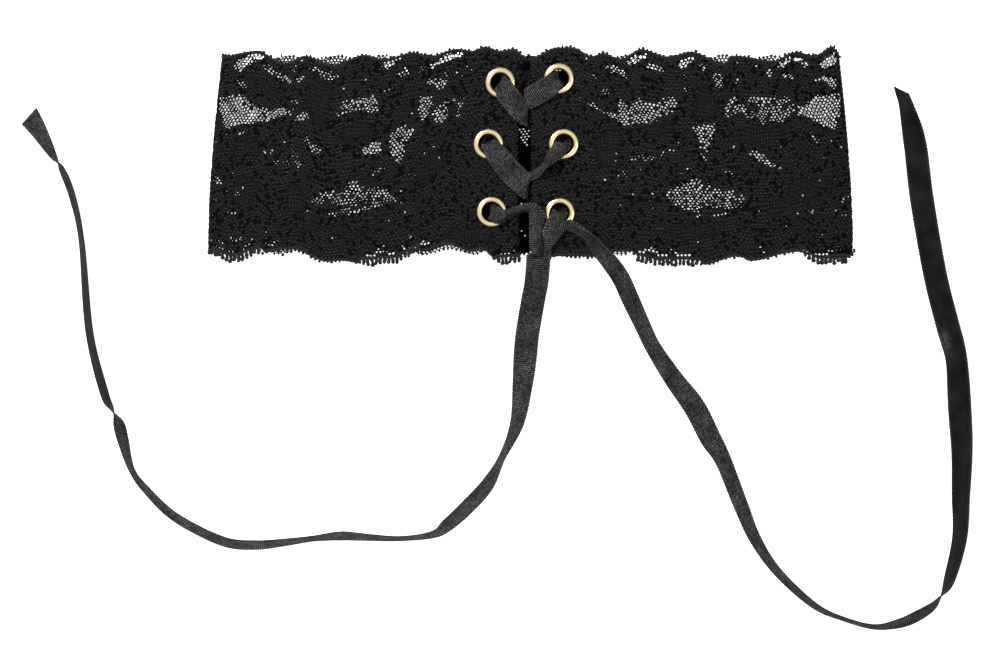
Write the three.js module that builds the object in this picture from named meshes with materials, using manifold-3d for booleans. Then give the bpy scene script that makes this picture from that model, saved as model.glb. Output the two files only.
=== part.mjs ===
// Lace choker lying on its back: a flattened loop of stretch lace, laced up the front with a satin ribbon.
// Millimetres. +X runs along the band to its right end, +Y to its top edge and +Z up to its front.
import * as THREE from 'three';
import { mergeVertices } from 'three/addons/utils/BufferGeometryUtils.js';
import Module from 'manifold-3d';

const wasm = await Module();
wasm.setup();

// Band
const BAND_HALF_WIDTH = 80.7; // at its widest, near the bottom edge
const TOP_NARROWING = 3.6; // what each side draws in by at the top edge
const NARROWING_POWER = 1.5;
const WIDEST_Y = -19;
const TOP_Y = 26;
const LACE_WALL = 1;
const PLACKET_WALL = 2;
const PLACKET_DEPTH = 13; // how far each end is folded back
const PLACKET_STEP = 1.5; // over which the doubled wall thins out
const FOLD_RADIUS = 1.4; // of the wall's middle, at the left and right folds
const FOLD_START = 60; // degrees above level, where the front's slope runs into the fold
const FOLD_BLEND = 7; // over which the back's scallops fade into the fold's edge
const FOLD_REACH = 3; // of the fold itself, sideways
const FRONT_TOP_Z = 6.6; // outer face of the plackets

// Eyelets
const EYELET_RADIUS = 3.85;
const EYELET_HOLE_RADIUS = 2.25;
const EYELET_BARREL_RADIUS = 2.7;
const EYELET_BACK_RADIUS = 3.7;
const EYELET_DOME = 0.9; // height of the front flange
const EYELET_BACK = 0.7; // height of the rolled back flange
const EYELET_SIDES = 20;
const GAP = 0.3;
const LACE_HOLE_RADIUS = EYELET_BARREL_RADIUS + GAP;

// Ribbon
const RIBBON_WIDTH = 6;
const RIBBON_WALL = 1;
const RIBBON_CORNER = 0.25;
const TAIL_STEPS = 58;
const SURFACE_CLEARANCE = 0.05; // of a free end
const OVER_RIM_Z = FRONT_TOP_Z + GAP + EYELET_DOME + GAP + RIBBON_WALL / 2;
const BEHIND_RIM_Z = FRONT_TOP_Z - PLACKET_WALL - GAP - EYELET_BACK - GAP - RIBBON_WALL / 2;

const MERGE_DISTANCE = 1e-4;

const LACE = { color: 0x17161a, roughness: 0.85, metalness: 0 };
const SATIN = { color: 0x2a2a2d, roughness: 0.5, metalness: 0 };
const BRASS = { color: 0xe3cd93, roughness: 0.22, metalness: 1 };

// Middle of the front wall from the lacing out to the start of the fold, right side. The left is its mirror.
const FRONT_SWELL = [
  { x: 0, z: 6.1 },
  { x: 9, z: 6.1 },
  { x: 17, z: 6.1 },
  { x: 38, z: 6.8 },
  { x: 56, z: 6.55 },
  { x: 68, z: 5.75 },
  { x: 75.5, z: 4.7 },
  { x: 79.5, z: 3.11 },
];

// Inner edges of the two plackets, which almost meet at the top.
const LACED_GAP = [
  { y: -28, left: -2.7, right: 0.4 },
  { y: -6, left: -3.2, right: 0.2 },
  { y: 6, left: -3.1, right: 0.1 },
  { y: 16, left: -2.8, right: 0 },
  { y: 28, left: -1.2, right: -0.4 },
];

// Scallops of the front layer's two edges: crests and dips from the left fold to the right one.
const FRONT_TOP_EDGE = [
  { x: -77.1, y: 25.5 }, { x: -68.4, y: 26.6 }, { x: -60.9, y: 23.6 }, { x: -55.9, y: 25.3 },
  { x: -48.6, y: 23 }, { x: -41.3, y: 25.6 }, { x: -36.6, y: 24.5 }, { x: -29.3, y: 26.2 },
  { x: -25.1, y: 25.3 }, { x: -18.4, y: 27.1 }, { x: -14.7, y: 26.6 }, { x: -11.1, y: 27.7 },
  { x: -7.9, y: 26.6 }, { x: -4.4, y: 27 }, { x: -0.5, y: 24.7 }, { x: 6.9, y: 27.5 },
  { x: 10.1, y: 27.5 }, { x: 15.6, y: 25.3 }, { x: 17.9, y: 26.1 }, { x: 22.6, y: 24.6 },
  { x: 27.6, y: 27 }, { x: 34.4, y: 25.1 }, { x: 40.1, y: 26.4 }, { x: 47.6, y: 23.5 },
  { x: 51.4, y: 25.4 }, { x: 60, y: 24.1 }, { x: 65.9, y: 26.3 }, { x: 70.9, y: 25.5 },
  { x: 75.7, y: 27.9 }, { x: 77.2, y: 26 },
];
const FRONT_BOTTOM_EDGE = [
  { x: -80.6, y: -24.6 }, { x: -74.5, y: -26.8 }, { x: -66.9, y: -24.6 }, { x: -59.6, y: -23.8 },
  { x: -50.5, y: -27 }, { x: -47.4, y: -26.7 }, { x: -40, y: -27.7 }, { x: -35.4, y: -27.4 },
  { x: -27.2, y: -24.4 }, { x: -20.4, y: -22.5 }, { x: -15, y: -24.5 }, { x: -12.4, y: -23.8 },
  { x: -7.4, y: -27.2 }, { x: -1.4, y: -26.8 }, { x: 7.9, y: -25.5 }, { x: 16.1, y: -25.8 },
  { x: 21, y: -24.4 }, { x: 25.1, y: -24.4 }, { x: 27.6, y: -26.9 }, { x: 32.4, y: -27.7 },
  { x: 42.6, y: -27.7 }, { x: 51.9, y: -25.7 }, { x: 54.9, y: -26.7 }, { x: 66.6, y: -24.4 },
  { x: 72.1, y: -27.5 }, { x: 78.6, y: -26.9 }, { x: 80.4, y: -25 },
];
// The back layer is the same lace further along its repeat.
const BACK_SCALLOP_PITCH = 12.1;
const BACK_TOP = { y: 25, swing: 0.7, crestX: -0.2 };
const BACK_BOTTOM = { y: -24.1, swing: 0.8, crestX: -20.4 };

// Eyelet centres, with the ribbon's heading in plan, in degrees, as it comes up from behind and as it leaves,
// and the heading and size of its width where it bends over the rim.
const EYELETS = [
  { name: 'top_left', x: -7.6, y: 18.2, arrives: 180, leaves: -60, lies: 42, overRim: 5.5 },
  { name: 'top_right', x: 7.05, y: 19.2, arrives: 0, leaves: 221, lies: 123, overRim: 5.4 },
  { name: 'middle_left', x: -10.55, y: 2.9, arrives: 231, leaves: -52, lies: 38, overRim: 5.4 },
  { name: 'middle_right', x: 8.25, y: 2.9, arrives: -33, leaves: 231, lies: 158, overRim: 4.1 },
  { name: 'bottom_left', x: -9.75, y: -14, arrives: 219, leaves: -30, lies: 58, overRim: 4.1 },
  { name: 'bottom_right', x: 7.25, y: -14.3, arrives: -33, leaves: 240, lies: 150, overRim: 3.6 },
];

// One value of a short table, eased between its rows so that each crest and dip stays a crest or dip.
function eased(rows, key, at, value) {
  let i = 1;
  while (i < rows.length - 1 && rows[i][key] < at) {
    i += 1;
  }
  const before = rows[i - 1];
  const after = rows[i];
  const part = THREE.MathUtils.clamp((at - before[key]) / (after[key] - before[key]), 0, 1);
  return THREE.MathUtils.lerp(before[value], after[value], (1 - Math.cos(Math.PI * part)) / 2);
}

function mesh(name, geometry, finish) {
  const made = new THREE.Mesh(geometry, new THREE.MeshStandardMaterial(finish));
  made.name = name;
  return made;
}

function toSolid(geometry) {
  const bare = geometry.clone();
  bare.deleteAttribute('normal');
  bare.deleteAttribute('uv');
  const merged = mergeVertices(bare, MERGE_DISTANCE);
  return new wasm.Manifold(new wasm.Mesh({
    numProp: 3,
    vertProperties: new Float32Array(merged.attributes.position.array),
    triVerts: new Uint32Array(merged.index.array),
  }));
}

function toGeometry(solid) {
  const out = solid.getMesh();
  const geometry = new THREE.BufferGeometry();
  geometry.setAttribute('position', new THREE.BufferAttribute(out.vertProperties, 3));
  geometry.setIndex(new THREE.BufferAttribute(out.triVerts, 1));
  return geometry;
}

// The right half of the loop's wall, seen along Y, from the lacing (station 0) round the fold to the middle of
// the back: the wall's middle x and z, and the outward normal. `run` is 0 to 1 over the front, for its stretch.
const FRONT_STATIONS = 58;
const FOLD_STATIONS = 7;
const BACK_STATIONS = 38;
const BAND_ROWS = 3;

function halfLoop() {
  const swell = new THREE.SplineCurve(FRONT_SWELL.map((row) => new THREE.Vector2(row.x, row.z)));
  const foldX = BAND_HALF_WIDTH - LACE_WALL / 2 - FOLD_RADIUS;
  const foldZ = LACE_WALL / 2 + FOLD_RADIUS;
  const foldStart = THREE.MathUtils.degToRad(FOLD_START);
  const fold = new THREE.EllipseCurve(foldX, foldZ, FOLD_RADIUS, FOLD_RADIUS, foldStart, -Math.PI / 2, true);
  const back = new THREE.LineCurve(new THREE.Vector2(foldX, LACE_WALL / 2), new THREE.Vector2(0, LACE_WALL / 2));
  const stations = [];
  const walk = (curve, count, face) => {
    for (let i = 0; i < count; i += 1) {
      const middle = curve.getPointAt(i / count);
      const along = curve.getTangentAt(i / count);
      const run = face === 'front' ? i / count : 1;
      stations.push({ face, run, x: middle.x, z: middle.y, nx: -along.y, nz: along.x });
    }
  };
  walk(swell, FRONT_STATIONS, 'front');
  walk(fold, FOLD_STATIONS, 'fold');
  walk(back, BACK_STATIONS, 'back');
  return stations;
}

// How much the band draws in sideways at height y.
function narrowing(y) {
  const part = Math.max(0, (y - WIDEST_Y) / (TOP_Y - WIDEST_Y));
  return 1 - (TOP_NARROWING / BAND_HALF_WIDTH) * part ** NARROWING_POWER;
}

// x of a station of the strip at height y. The front layer starts at its placket's inner edge.
function stationX(station, side, y) {
  const drawn = side * station.x * narrowing(y);
  if (station.face !== 'front') {
    return drawn;
  }
  return drawn + eased(LACED_GAP, 'y', y, side < 0 ? 'left' : 'right') * (1 - station.run);
}

function edgeY(station, x, frontEdge, backEdge) {
  if (station.face === 'front') {
    return eased(frontEdge, 'x', x, 'y');
  }
  const foldY = eased(frontEdge, 'x', x < 0 ? -BAND_HALF_WIDTH : BAND_HALF_WIDTH, 'y');
  if (station.face === 'fold') {
    return foldY;
  }
  const turns = (x - backEdge.crestX) / BACK_SCALLOP_PITCH;
  const scalloped = backEdge.y + backEdge.swing * Math.cos(2 * Math.PI * turns);
  const foldAt = BAND_HALF_WIDTH - FOLD_REACH;
  const nearFold = THREE.MathUtils.smoothstep(station.x, foldAt - FOLD_BLEND, foldAt);
  return THREE.MathUtils.lerp(scalloped, foldY, nearFold);
}

function wallAt(station) {
  if (station.face !== 'front') {
    return LACE_WALL;
  }
  const thinned = THREE.MathUtils.smoothstep(station.x, PLACKET_DEPTH, PLACKET_DEPTH + PLACKET_STEP);
  return THREE.MathUtils.lerp(PLACKET_WALL, LACE_WALL, thinned);
}

// The band: a box whose length follows the loop from placket to placket, whose height runs between the two
// scalloped edges and whose depth is the wall, with a hole for each eyelet.
function laceBand() {
  const half = halfLoop();
  const middle = { face: 'back', run: 1, x: 0, z: LACE_WALL / 2, nx: 0, nz: -1 };
  const strip = [
    ...half.map((station) => ({ station, side: 1 })),
    { station: middle, side: 1 },
    ...half.map((station) => ({ station, side: -1 })).reverse(),
  ];
  const geometry = new THREE.BoxGeometry(1, 1, 1, strip.length - 1, BAND_ROWS, 1);
  const position = geometry.attributes.position;
  for (let i = 0; i < position.count; i += 1) {
    const { station, side } = strip[Math.round((position.getX(i) + 0.5) * (strip.length - 1))];
    const top = edgeY(station, stationX(station, side, TOP_Y), FRONT_TOP_EDGE, BACK_TOP);
    const bottom = edgeY(station, stationX(station, side, -TOP_Y), FRONT_BOTTOM_EDGE, BACK_BOTTOM);
    const y = THREE.MathUtils.lerp(bottom, top, position.getY(i) + 0.5);
    const outside = position.getZ(i) > 0;
    const out = outside ? LACE_WALL / 2 : LACE_WALL / 2 - wallAt(station);
    const x = stationX(station, side, y) + side * station.nx * out;
    position.setXYZ(i, x, y, station.z + station.nz * out);
  }
  let band = toSolid(geometry);
  for (const eyelet of EYELETS) {
    const cutter = new THREE.CylinderGeometry(LACE_HOLE_RADIUS, LACE_HOLE_RADIUS, PLACKET_WALL * 2, EYELET_SIDES);
    cutter.rotateX(Math.PI / 2);
    cutter.translate(eyelet.x, eyelet.y, FRONT_TOP_Z - PLACKET_WALL / 2);
    band = band.subtract(toSolid(cutter));
  }
  return toGeometry(band);
}

// An eyelet as set: domed front flange, barrel through the placket, rolled back flange.
function eyeletGeometry() {
  const front = FRONT_TOP_Z + GAP;
  const back = FRONT_TOP_Z - PLACKET_WALL - GAP;
  const domeRadius = (EYELET_RADIUS + EYELET_HOLE_RADIUS) / 2;
  const backRadius = (EYELET_BACK_RADIUS + EYELET_HOLE_RADIUS) / 2;
  const profile = [
    { radius: EYELET_HOLE_RADIUS, z: back - EYELET_BACK * 0.4 },
    { radius: backRadius, z: back - EYELET_BACK },
    { radius: EYELET_BACK_RADIUS, z: back - EYELET_BACK * 0.35 },
    { radius: EYELET_BACK_RADIUS, z: back },
    { radius: EYELET_BARREL_RADIUS, z: back },
    { radius: EYELET_BARREL_RADIUS, z: front },
    { radius: EYELET_RADIUS, z: front },
    { radius: EYELET_RADIUS - 0.12, z: front + EYELET_DOME * 0.5 },
    { radius: domeRadius + 0.35, z: front + EYELET_DOME * 0.93 },
    { radius: domeRadius - 0.2, z: front + EYELET_DOME },
    { radius: EYELET_HOLE_RADIUS + 0.12, z: front + EYELET_DOME * 0.6 },
    { radius: EYELET_HOLE_RADIUS, z: front },
  ];
  const closed = [...profile, profile[0]].map((row) => new THREE.Vector2(row.radius, row.z));
  const geometry = new THREE.LatheGeometry(closed, EYELET_SIDES);
  geometry.rotateX(Math.PI / 2);
  return geometry;
}

// Flat ribbon section, 1 wide, with eased corners. Its width lies along x.
function ribbonSection() {
  const side = 0.5;
  const face = RIBBON_WALL / 2;
  const inset = RIBBON_CORNER / RIBBON_WIDTH;
  const section = new THREE.Shape();
  section.moveTo(-side, face - RIBBON_CORNER);
  section.lineTo(-side, RIBBON_CORNER - face);
  section.lineTo(inset - side, -face);
  section.lineTo(side - inset, -face);
  section.lineTo(side, RIBBON_CORNER - face);
  section.lineTo(side, face - RIBBON_CORNER);
  section.lineTo(side - inset, face);
  section.lineTo(inset - side, face);
  section.closePath();
  return section;
}

// A ribbon lofted through rows of { x, y, z, width, turn, tilt }: `turn` is the heading of its width in plan and
// `tilt` the rise of its width above level, both in degrees. A ribbon has no front, so a turn may be 180 off.
function ribbonGeometry(rows, steps) {
  let last = rows[0].turn;
  const widths = rows.map((row) => {
    const halfTurns = Math.round((last - row.turn) / 180);
    last = row.turn + 180 * halfTurns;
    const rise = halfTurns % 2 === 0 ? 1 : -1;
    return new THREE.Vector3(row.width, last, rise * (row.tilt ?? 0));
  });
  const centres = rows.map((row) => new THREE.Vector3(row.x, row.y, row.z));
  const middle = new THREE.CatmullRomCurve3(centres, false, 'catmullrom');
  const shape = new THREE.CatmullRomCurve3(widths, false, 'catmullrom');
  const geometry = new THREE.ExtrudeGeometry(ribbonSection(), { depth: 1, steps, bevelEnabled: false });
  const position = geometry.attributes.position;
  for (let i = 0; i < position.count; i += 1) {
    const at = position.getZ(i);
    const { x: width, y: turn, z: tilt } = shape.getPoint(at);
    const heading = THREE.MathUtils.degToRad(turn);
    const rise = THREE.MathUtils.degToRad(tilt);
    const across = new THREE.Vector3(
      Math.cos(rise) * Math.cos(heading), Math.cos(rise) * Math.sin(heading), Math.sin(rise));
    const normal = middle.getTangent(at).cross(across).normalize();
    const point = middle.getPoint(at);
    point.addScaledVector(across, position.getX(i) * width);
    point.addScaledVector(normal, position.getY(i));
    position.setXYZ(i, point.x, point.y, point.z);
  }
  return geometry;
}

// Rows of a ribbon that comes up through an eyelet from behind and bends over its rim. It bunches in the hole.
function throughEyelet(name) {
  const eyelet = EYELETS.find((found) => found.name === name);
  const stages = [
    { heading: 'arrives', reach: -4.2, z: BEHIND_RIM_Z - 0.15, width: 5.2 },
    { heading: 'arrives', reach: -1.2, z: BEHIND_RIM_Z + 0.15, width: 3.6 },
    { heading: 'arrives', reach: -0.1, z: 4.6, width: 3.3 },
    { heading: 'leaves', reach: 0.1, z: 6.9, width: 3.3 },
    { heading: 'leaves', reach: 1.1, z: OVER_RIM_Z - 0.1, width: Math.min(4.2, eyelet.overRim) },
    { heading: 'leaves', reach: 2.8, z: OVER_RIM_Z + 0.15, width: eyelet.overRim },
  ];
  return stages.map(({ heading, reach, z, width }) => {
    const angle = THREE.MathUtils.degToRad(eyelet[heading]);
    return {
      x: eyelet.x + reach * Math.cos(angle),
      y: eyelet.y + reach * Math.sin(angle),
      z,
      width,
      turn: heading === 'arrives' ? eyelet.arrives + 90 : eyelet.lies,
    };
  });
}

// The strand that leaves the hidden bar to the left. It crosses over the other one, tucks under the right
// placket, comes back through the middle right eyelet and ends in the front loop of the knot.
const STRAND_FROM_LEFT = [
  { x: 1, y: 18.8, z: BEHIND_RIM_Z, width: 5.6, turn: 270 },
  ...throughEyelet('top_left'),
  { x: -4.5, y: 13.6, z: 8.3, width: 5.5, turn: 42 },
  { x: -2.7, y: 11.3, z: 8.1, width: 5.3, turn: 50, tilt: -4 },
  { x: -1.5, y: 10, z: 7.5, width: 4.8, turn: 64, tilt: -6 },
  { x: -0.9, y: 9.4, z: 6.4, width: 4.4, turn: 90 },
  { x: -0.85, y: 9.1, z: 4.9, width: 4.4, turn: 94 },
  { x: -0.3, y: 8.7, z: 3.4, width: 4.6, turn: 90 },
  { x: 1.6, y: 7.5, z: 2.9, width: 5.2, turn: 66 },
  ...throughEyelet('middle_right'),
  { x: 4.7, y: -0.9, z: 9, width: 3.6, turn: 140, tilt: -38 },
  { x: 2.9, y: -2.9, z: 8.7, width: 3.2, turn: 135, tilt: -58 },
  { x: 1.3, y: -4.4, z: 7.8, width: 2.5, turn: 126, tilt: -20 },
  { x: -0.6, y: -5.4, z: 7.3, width: 2.4, turn: 112 },
  { x: -1.9, y: -6, z: 6.2, width: 2.6, turn: 100 },
  { x: -1.9, y: -6.3, z: 4.9, width: 2.8, turn: 92 },
  { x: -2.7, y: -7, z: 3.4, width: 3.4, turn: 100 },
  { x: -4.7, y: -9.1, z: 3, width: 4.4, turn: 118 },
  ...throughEyelet('bottom_left'),
  { x: -5.4, y: -14.5, z: 8.3, width: 2.5, turn: 108 },
  { x: -3.3, y: -13.6, z: 8.1, width: 2.1, turn: 108 },
  { x: -1.2, y: -13.05, z: 8.8, width: 2.3, turn: 98 },
  { x: 0.3, y: -13.2, z: 9.6, width: 2.7, turn: 60 },
  { x: 1, y: -14.4, z: 9.9, width: 3, turn: 14 },
  { x: 1.15, y: -16.6, z: 9.9, width: 3.1, turn: 0 },
  { x: 1.15, y: -20, z: 9.9, width: 3.1, turn: 0 },
  { x: 1.2, y: -22.6, z: 9.6, width: 3.1, turn: -2 },
  { x: 1.3, y: -23.8, z: 8.6, width: 3, turn: -8 },
  { x: 1.9, y: -22.9, z: 7.5, width: 2.9, turn: -20 },
  { x: 3.3, y: -21, z: 7.45, width: 3, turn: -32 },
  { x: 5, y: -19.9, z: 7.6, width: 3, turn: -44 },
  { x: 7, y: -18.9, z: 8.6, width: 2.8, turn: -66 },
  { x: 8.8, y: -17.5, z: 9.2, width: 3, turn: -97, tilt: -20 },
  { x: 10.7, y: -18.1, z: 9.1, width: 3.8, turn: -114, tilt: -46 },
  { x: 12.8, y: -19.4, z: 9.2, width: 4.6, turn: -125, tilt: -57 },
  { x: 14.7, y: -20.9, z: 9.5, width: 5.4, turn: -134, tilt: -60 },
  { x: 16.4, y: -22.9, z: 9.8, width: RIBBON_WIDTH, turn: -139, tilt: -61 },
];
// The strand that leaves the bar to the right, and ends as the knot's wide fold.
const STRAND_FROM_RIGHT = [
  { x: -1.4, y: 18.8, z: BEHIND_RIM_Z, width: 5.6, turn: 90 },
  ...throughEyelet('top_right'),
  { x: 3.3, y: 16.4, z: 8.1, width: 5.5, turn: 122 },
  { x: 1, y: 15, z: 7.75, width: 5.5, turn: 120 },
  { x: -0.8, y: 14, z: 7.4, width: 5.2, turn: 108 },
  { x: -1.4, y: 13.7, z: 6.6, width: 4.8, turn: 92 },
  { x: -1.55, y: 13.5, z: 4.8, width: 4.8, turn: 84 },
  { x: -2.2, y: 13, z: 3.3, width: 4.8, turn: 88 },
  { x: -4.9, y: 10.8, z: 2.9, width: 5.4, turn: 116 },
  { x: -6.8, y: 8, z: BEHIND_RIM_Z, width: 5.6, turn: 134 },
  ...throughEyelet('middle_left'),
  { x: -7.3, y: -1.3, z: 8.3, width: 5.8, turn: 40 },
  { x: -5.4, y: -3.6, z: 8.3, width: 6, turn: 42 },
  { x: -3.4, y: -5.6, z: 8.6, width: 6, turn: 44 },
  { x: -1.9, y: -7, z: 8.5, width: 5.9, turn: 48 },
  { x: -1.15, y: -8.1, z: 7.7, width: 5.4, turn: 64 },
  { x: -0.85, y: -8.5, z: 6.5, width: 5, turn: 84 },
  { x: -0.75, y: -8.8, z: 4.7, width: 4.8, turn: 90 },
  { x: 0, y: -9.4, z: 3.5, width: 4.9, turn: 82 },
  { x: 1.8, y: -10.6, z: 2.9, width: 5.2, turn: 66 },
  ...throughEyelet('bottom_right'),
  { x: 5.5, y: -18.7, z: 9.2, width: 5.9, turn: 184 },
  { x: 4.7, y: -20.3, z: 9, width: 5.4, turn: 186 },
  { x: 3.7, y: -21.9, z: 8.7, width: 4.4, turn: 184 },
  { x: 2.9, y: -23.2, z: 8.6, width: 3.7, turn: 182 },
  { x: 2.15, y: -24.6, z: 8.4, width: RIBBON_WIDTH, turn: 180 },
  { x: 1.97, y: -26.05, z: 8.15, width: RIBBON_WIDTH, turn: 177 },
];
const STRAND_STEPS = 1.6; // lofted steps for each row

// Free ends of the ribbon, from the knot to their tips. `roll` turns the ribbon about its own line, 90 standing it
// on edge, and `lift` is how far its lower edge is off the surface.
const LEFT_TAIL_ROUTE = [
  { x: 1.9, y: -26.6, roll: 0, lift: 7.5 },
  { x: 1.5, y: -31.3, roll: 0, lift: 5.4 },
  { x: 0.6, y: -36.3, roll: 0, lift: 2.4 },
  { x: -0.3, y: -41.5, roll: 0, lift: 0.4 },
  { x: -1, y: -46.5, roll: 4, lift: 0 },
  { x: -2, y: -56.8, roll: 38, lift: 0 },
  { x: -3.5, y: -67, roll: 62, lift: 0 },
  { x: -7.2, y: -75.5, roll: 80, lift: 0 },
  { x: -10.9, y: -82.3, roll: 64, lift: 0 },
  { x: -16.4, y: -88.3, roll: 61, lift: 0 },
  { x: -21.1, y: -92.5, roll: 66, lift: 0 },
  { x: -24.6, y: -94.7, roll: 81, lift: 0 },
  { x: -32.4, y: -95.7, roll: 88, lift: 0 },
  { x: -40.4, y: -95.4, roll: 84, lift: 0 },
  { x: -47.4, y: -95, roll: 78, lift: 0 },
  { x: -54.6, y: -95.7, roll: 85, lift: 0 },
  { x: -61.1, y: -96.6, roll: 81, lift: 0 },
  { x: -68.9, y: -97.3, roll: 77, lift: 0 },
  { x: -77.1, y: -96.3, roll: 77, lift: 0 },
  { x: -88.9, y: -90.3, roll: 78, lift: 0 },
  { x: -96.3, y: -83.3, roll: 83, lift: 0 },
  { x: -99.8, y: -78.4, roll: 87, lift: 0 },
  { x: -102, y: -70.8, roll: 72, lift: 0 },
  { x: -103, y: -67, roll: 73, lift: 0 },
  { x: -104.6, y: -63.5, roll: 93, lift: 0 },
  { x: -106.7, y: -59.3, roll: 108, lift: 0 },
  { x: -110.4, y: -44, roll: 109, lift: 0 },
  { x: -112.4, y: -21, roll: 109, lift: 0 },
  { x: -114.5, y: -10, roll: 108, lift: 0 },
  { x: -117.1, y: -3.3, roll: 96, lift: 0 },
  { x: -119, y: -0.3, roll: 82, lift: 0 },
  { x: -122.6, y: 5.7, roll: 58, lift: 0 },
  { x: -125.6, y: 10, roll: 34, lift: 0 },
];
const RIGHT_TAIL_ROUTE = [
  { x: 16.65, y: -23.2, roll: 62, lift: 7 },
  { x: 19.6, y: -26.6, roll: 54, lift: 6.6 },
  { x: 22.5, y: -30.7, roll: 50, lift: 4.6 },
  { x: 25.1, y: -36.3, roll: 50, lift: 2.2 },
  { x: 27.8, y: -42, roll: 55, lift: 0.5 },
  { x: 30.6, y: -47.8, roll: 57, lift: 0 },
  { x: 35.6, y: -55.5, roll: 46, lift: 0 },
  { x: 41.1, y: -63, roll: 30, lift: 0 },
  { x: 45.1, y: -70.8, roll: 35, lift: 0 },
  { x: 48.3, y: -76.5, roll: 55, lift: 0 },
  { x: 52.6, y: -87.5, roll: 61, lift: 0 },
  { x: 56.2, y: -95.9, roll: 68, lift: 0 },
  { x: 61.9, y: -104.2, roll: 76, lift: 0 },
  { x: 71, y: -112.5, roll: 81, lift: 0 },
  { x: 78.2, y: -115.8, roll: 85, lift: 0 },
  { x: 85.9, y: -117.8, roll: 82, lift: 0 },
  { x: 92.1, y: -117, roll: 71, lift: 0 },
  { x: 96.3, y: -115.4, roll: 67, lift: 0 },
  { x: 100.4, y: -112.9, roll: 73, lift: 0 },
  { x: 102.4, y: -110.5, roll: 87, lift: 0 },
  { x: 104.6, y: -106.5, roll: 104, lift: 0 },
  { x: 107.3, y: -95.7, roll: 117, lift: 0 },
  { x: 107.7, y: -84.8, roll: 130, lift: 0 },
  { x: 108, y: -74, roll: 142, lift: 0 },
  { x: 107.5, y: -63, roll: 158, lift: 0 },
  { x: 106.8, y: -52.3, roll: 147, lift: 0 },
  { x: 105.8, y: -46.8, roll: 150, lift: 0 },
  { x: 104.3, y: -41.5, roll: 160, lift: 0 },
  { x: 101.3, y: -29.3, roll: 161, lift: 0 },
  { x: 98.1, y: -10.9, roll: 164, lift: 0 },
  { x: 96.3, y: 3, roll: 153, lift: 0 },
  { x: 94.1, y: 12.2, roll: 132, lift: 0 },
  { x: 92.6, y: 16.5, roll: 128, lift: 0 },
];

// Rows of a free end laid on the surface: its centre stands as high as its roll needs.
function laidRibbon(route) {
  return route.map((row, i) => {
    const before = route[Math.max(i - 1, 0)];
    const after = route[Math.min(i + 1, route.length - 1)];
    const heading = Math.atan2(after.y - before.y, after.x - before.x);
    const roll = THREE.MathUtils.degToRad(row.roll);
    const stand = (RIBBON_WIDTH * Math.sin(roll) + RIBBON_WALL * Math.abs(Math.cos(roll))) / 2;
    return {
      x: row.x,
      y: row.y,
      z: row.lift + stand + SURFACE_CLEARANCE,
      width: RIBBON_WIDTH,
      turn: THREE.MathUtils.radToDeg(heading) + 90,
      tilt: row.roll,
    };
  });
}

function lacing() {
  const strands = [STRAND_FROM_LEFT, STRAND_FROM_RIGHT].map(
    (rows) => toSolid(ribbonGeometry(rows, Math.round(rows.length * STRAND_STEPS))));
  return toGeometry(strands[0].add(strands[1]));
}

const group = new THREE.Group();
group.add(mesh('lace_band', laceBand(), LACE));
for (const eyelet of EYELETS) {
  const ring = mesh(`eyelet_${eyelet.name}`, eyeletGeometry(), BRASS);
  ring.position.set(eyelet.x, eyelet.y, 0);
  group.add(ring);
}
group.add(mesh('ribbon_lacing', lacing(), SATIN));
group.add(mesh('ribbon_tail_left', ribbonGeometry(laidRibbon(LEFT_TAIL_ROUTE), TAIL_STEPS), SATIN));
group.add(mesh('ribbon_tail_right', ribbonGeometry(laidRibbon(RIGHT_TAIL_ROUTE), TAIL_STEPS), SATIN));

export default group;
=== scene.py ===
import math

import bmesh
import bpy
import numpy as np
from mathutils import Matrix, Vector


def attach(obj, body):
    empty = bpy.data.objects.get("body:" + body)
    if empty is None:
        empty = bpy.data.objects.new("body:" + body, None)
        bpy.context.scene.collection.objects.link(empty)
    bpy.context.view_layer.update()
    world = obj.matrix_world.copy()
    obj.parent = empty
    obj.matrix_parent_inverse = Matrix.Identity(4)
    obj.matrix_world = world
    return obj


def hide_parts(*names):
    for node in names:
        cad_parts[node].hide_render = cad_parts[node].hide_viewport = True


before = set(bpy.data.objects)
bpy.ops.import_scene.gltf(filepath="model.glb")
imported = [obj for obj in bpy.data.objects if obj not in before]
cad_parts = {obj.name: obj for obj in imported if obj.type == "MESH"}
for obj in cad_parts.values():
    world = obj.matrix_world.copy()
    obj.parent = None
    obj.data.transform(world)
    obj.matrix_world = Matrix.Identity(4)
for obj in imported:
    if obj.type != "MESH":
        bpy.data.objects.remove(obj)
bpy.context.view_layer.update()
scene = bpy.context.scene

# Camera
# It looks straight down on the choker as it lies, from far enough off that the sides of the band do not show.
# The sizes of every section are in millimetres, and each mesh is turned to metres as it is finished.
MM = 0.001
VIEW_WIDTH = 250  # across the picture, at the level of the band's front
VIEW_LEVEL = 4
VIEW_MIDDLE = (-7.64, -42.66)
LENS = 200
SENSOR = 36

camera_data = bpy.data.cameras.new("camera")
camera_data.lens = LENS
camera_data.sensor_width = SENSOR
camera_data.clip_end = 20  # metres
camera = bpy.data.objects.new("camera", camera_data)
camera.location = Vector((*VIEW_MIDDLE, VIEW_LEVEL + VIEW_WIDTH * LENS / SENSOR)) * MM
scene.collection.objects.link(camera)
scene.camera = camera

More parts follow.
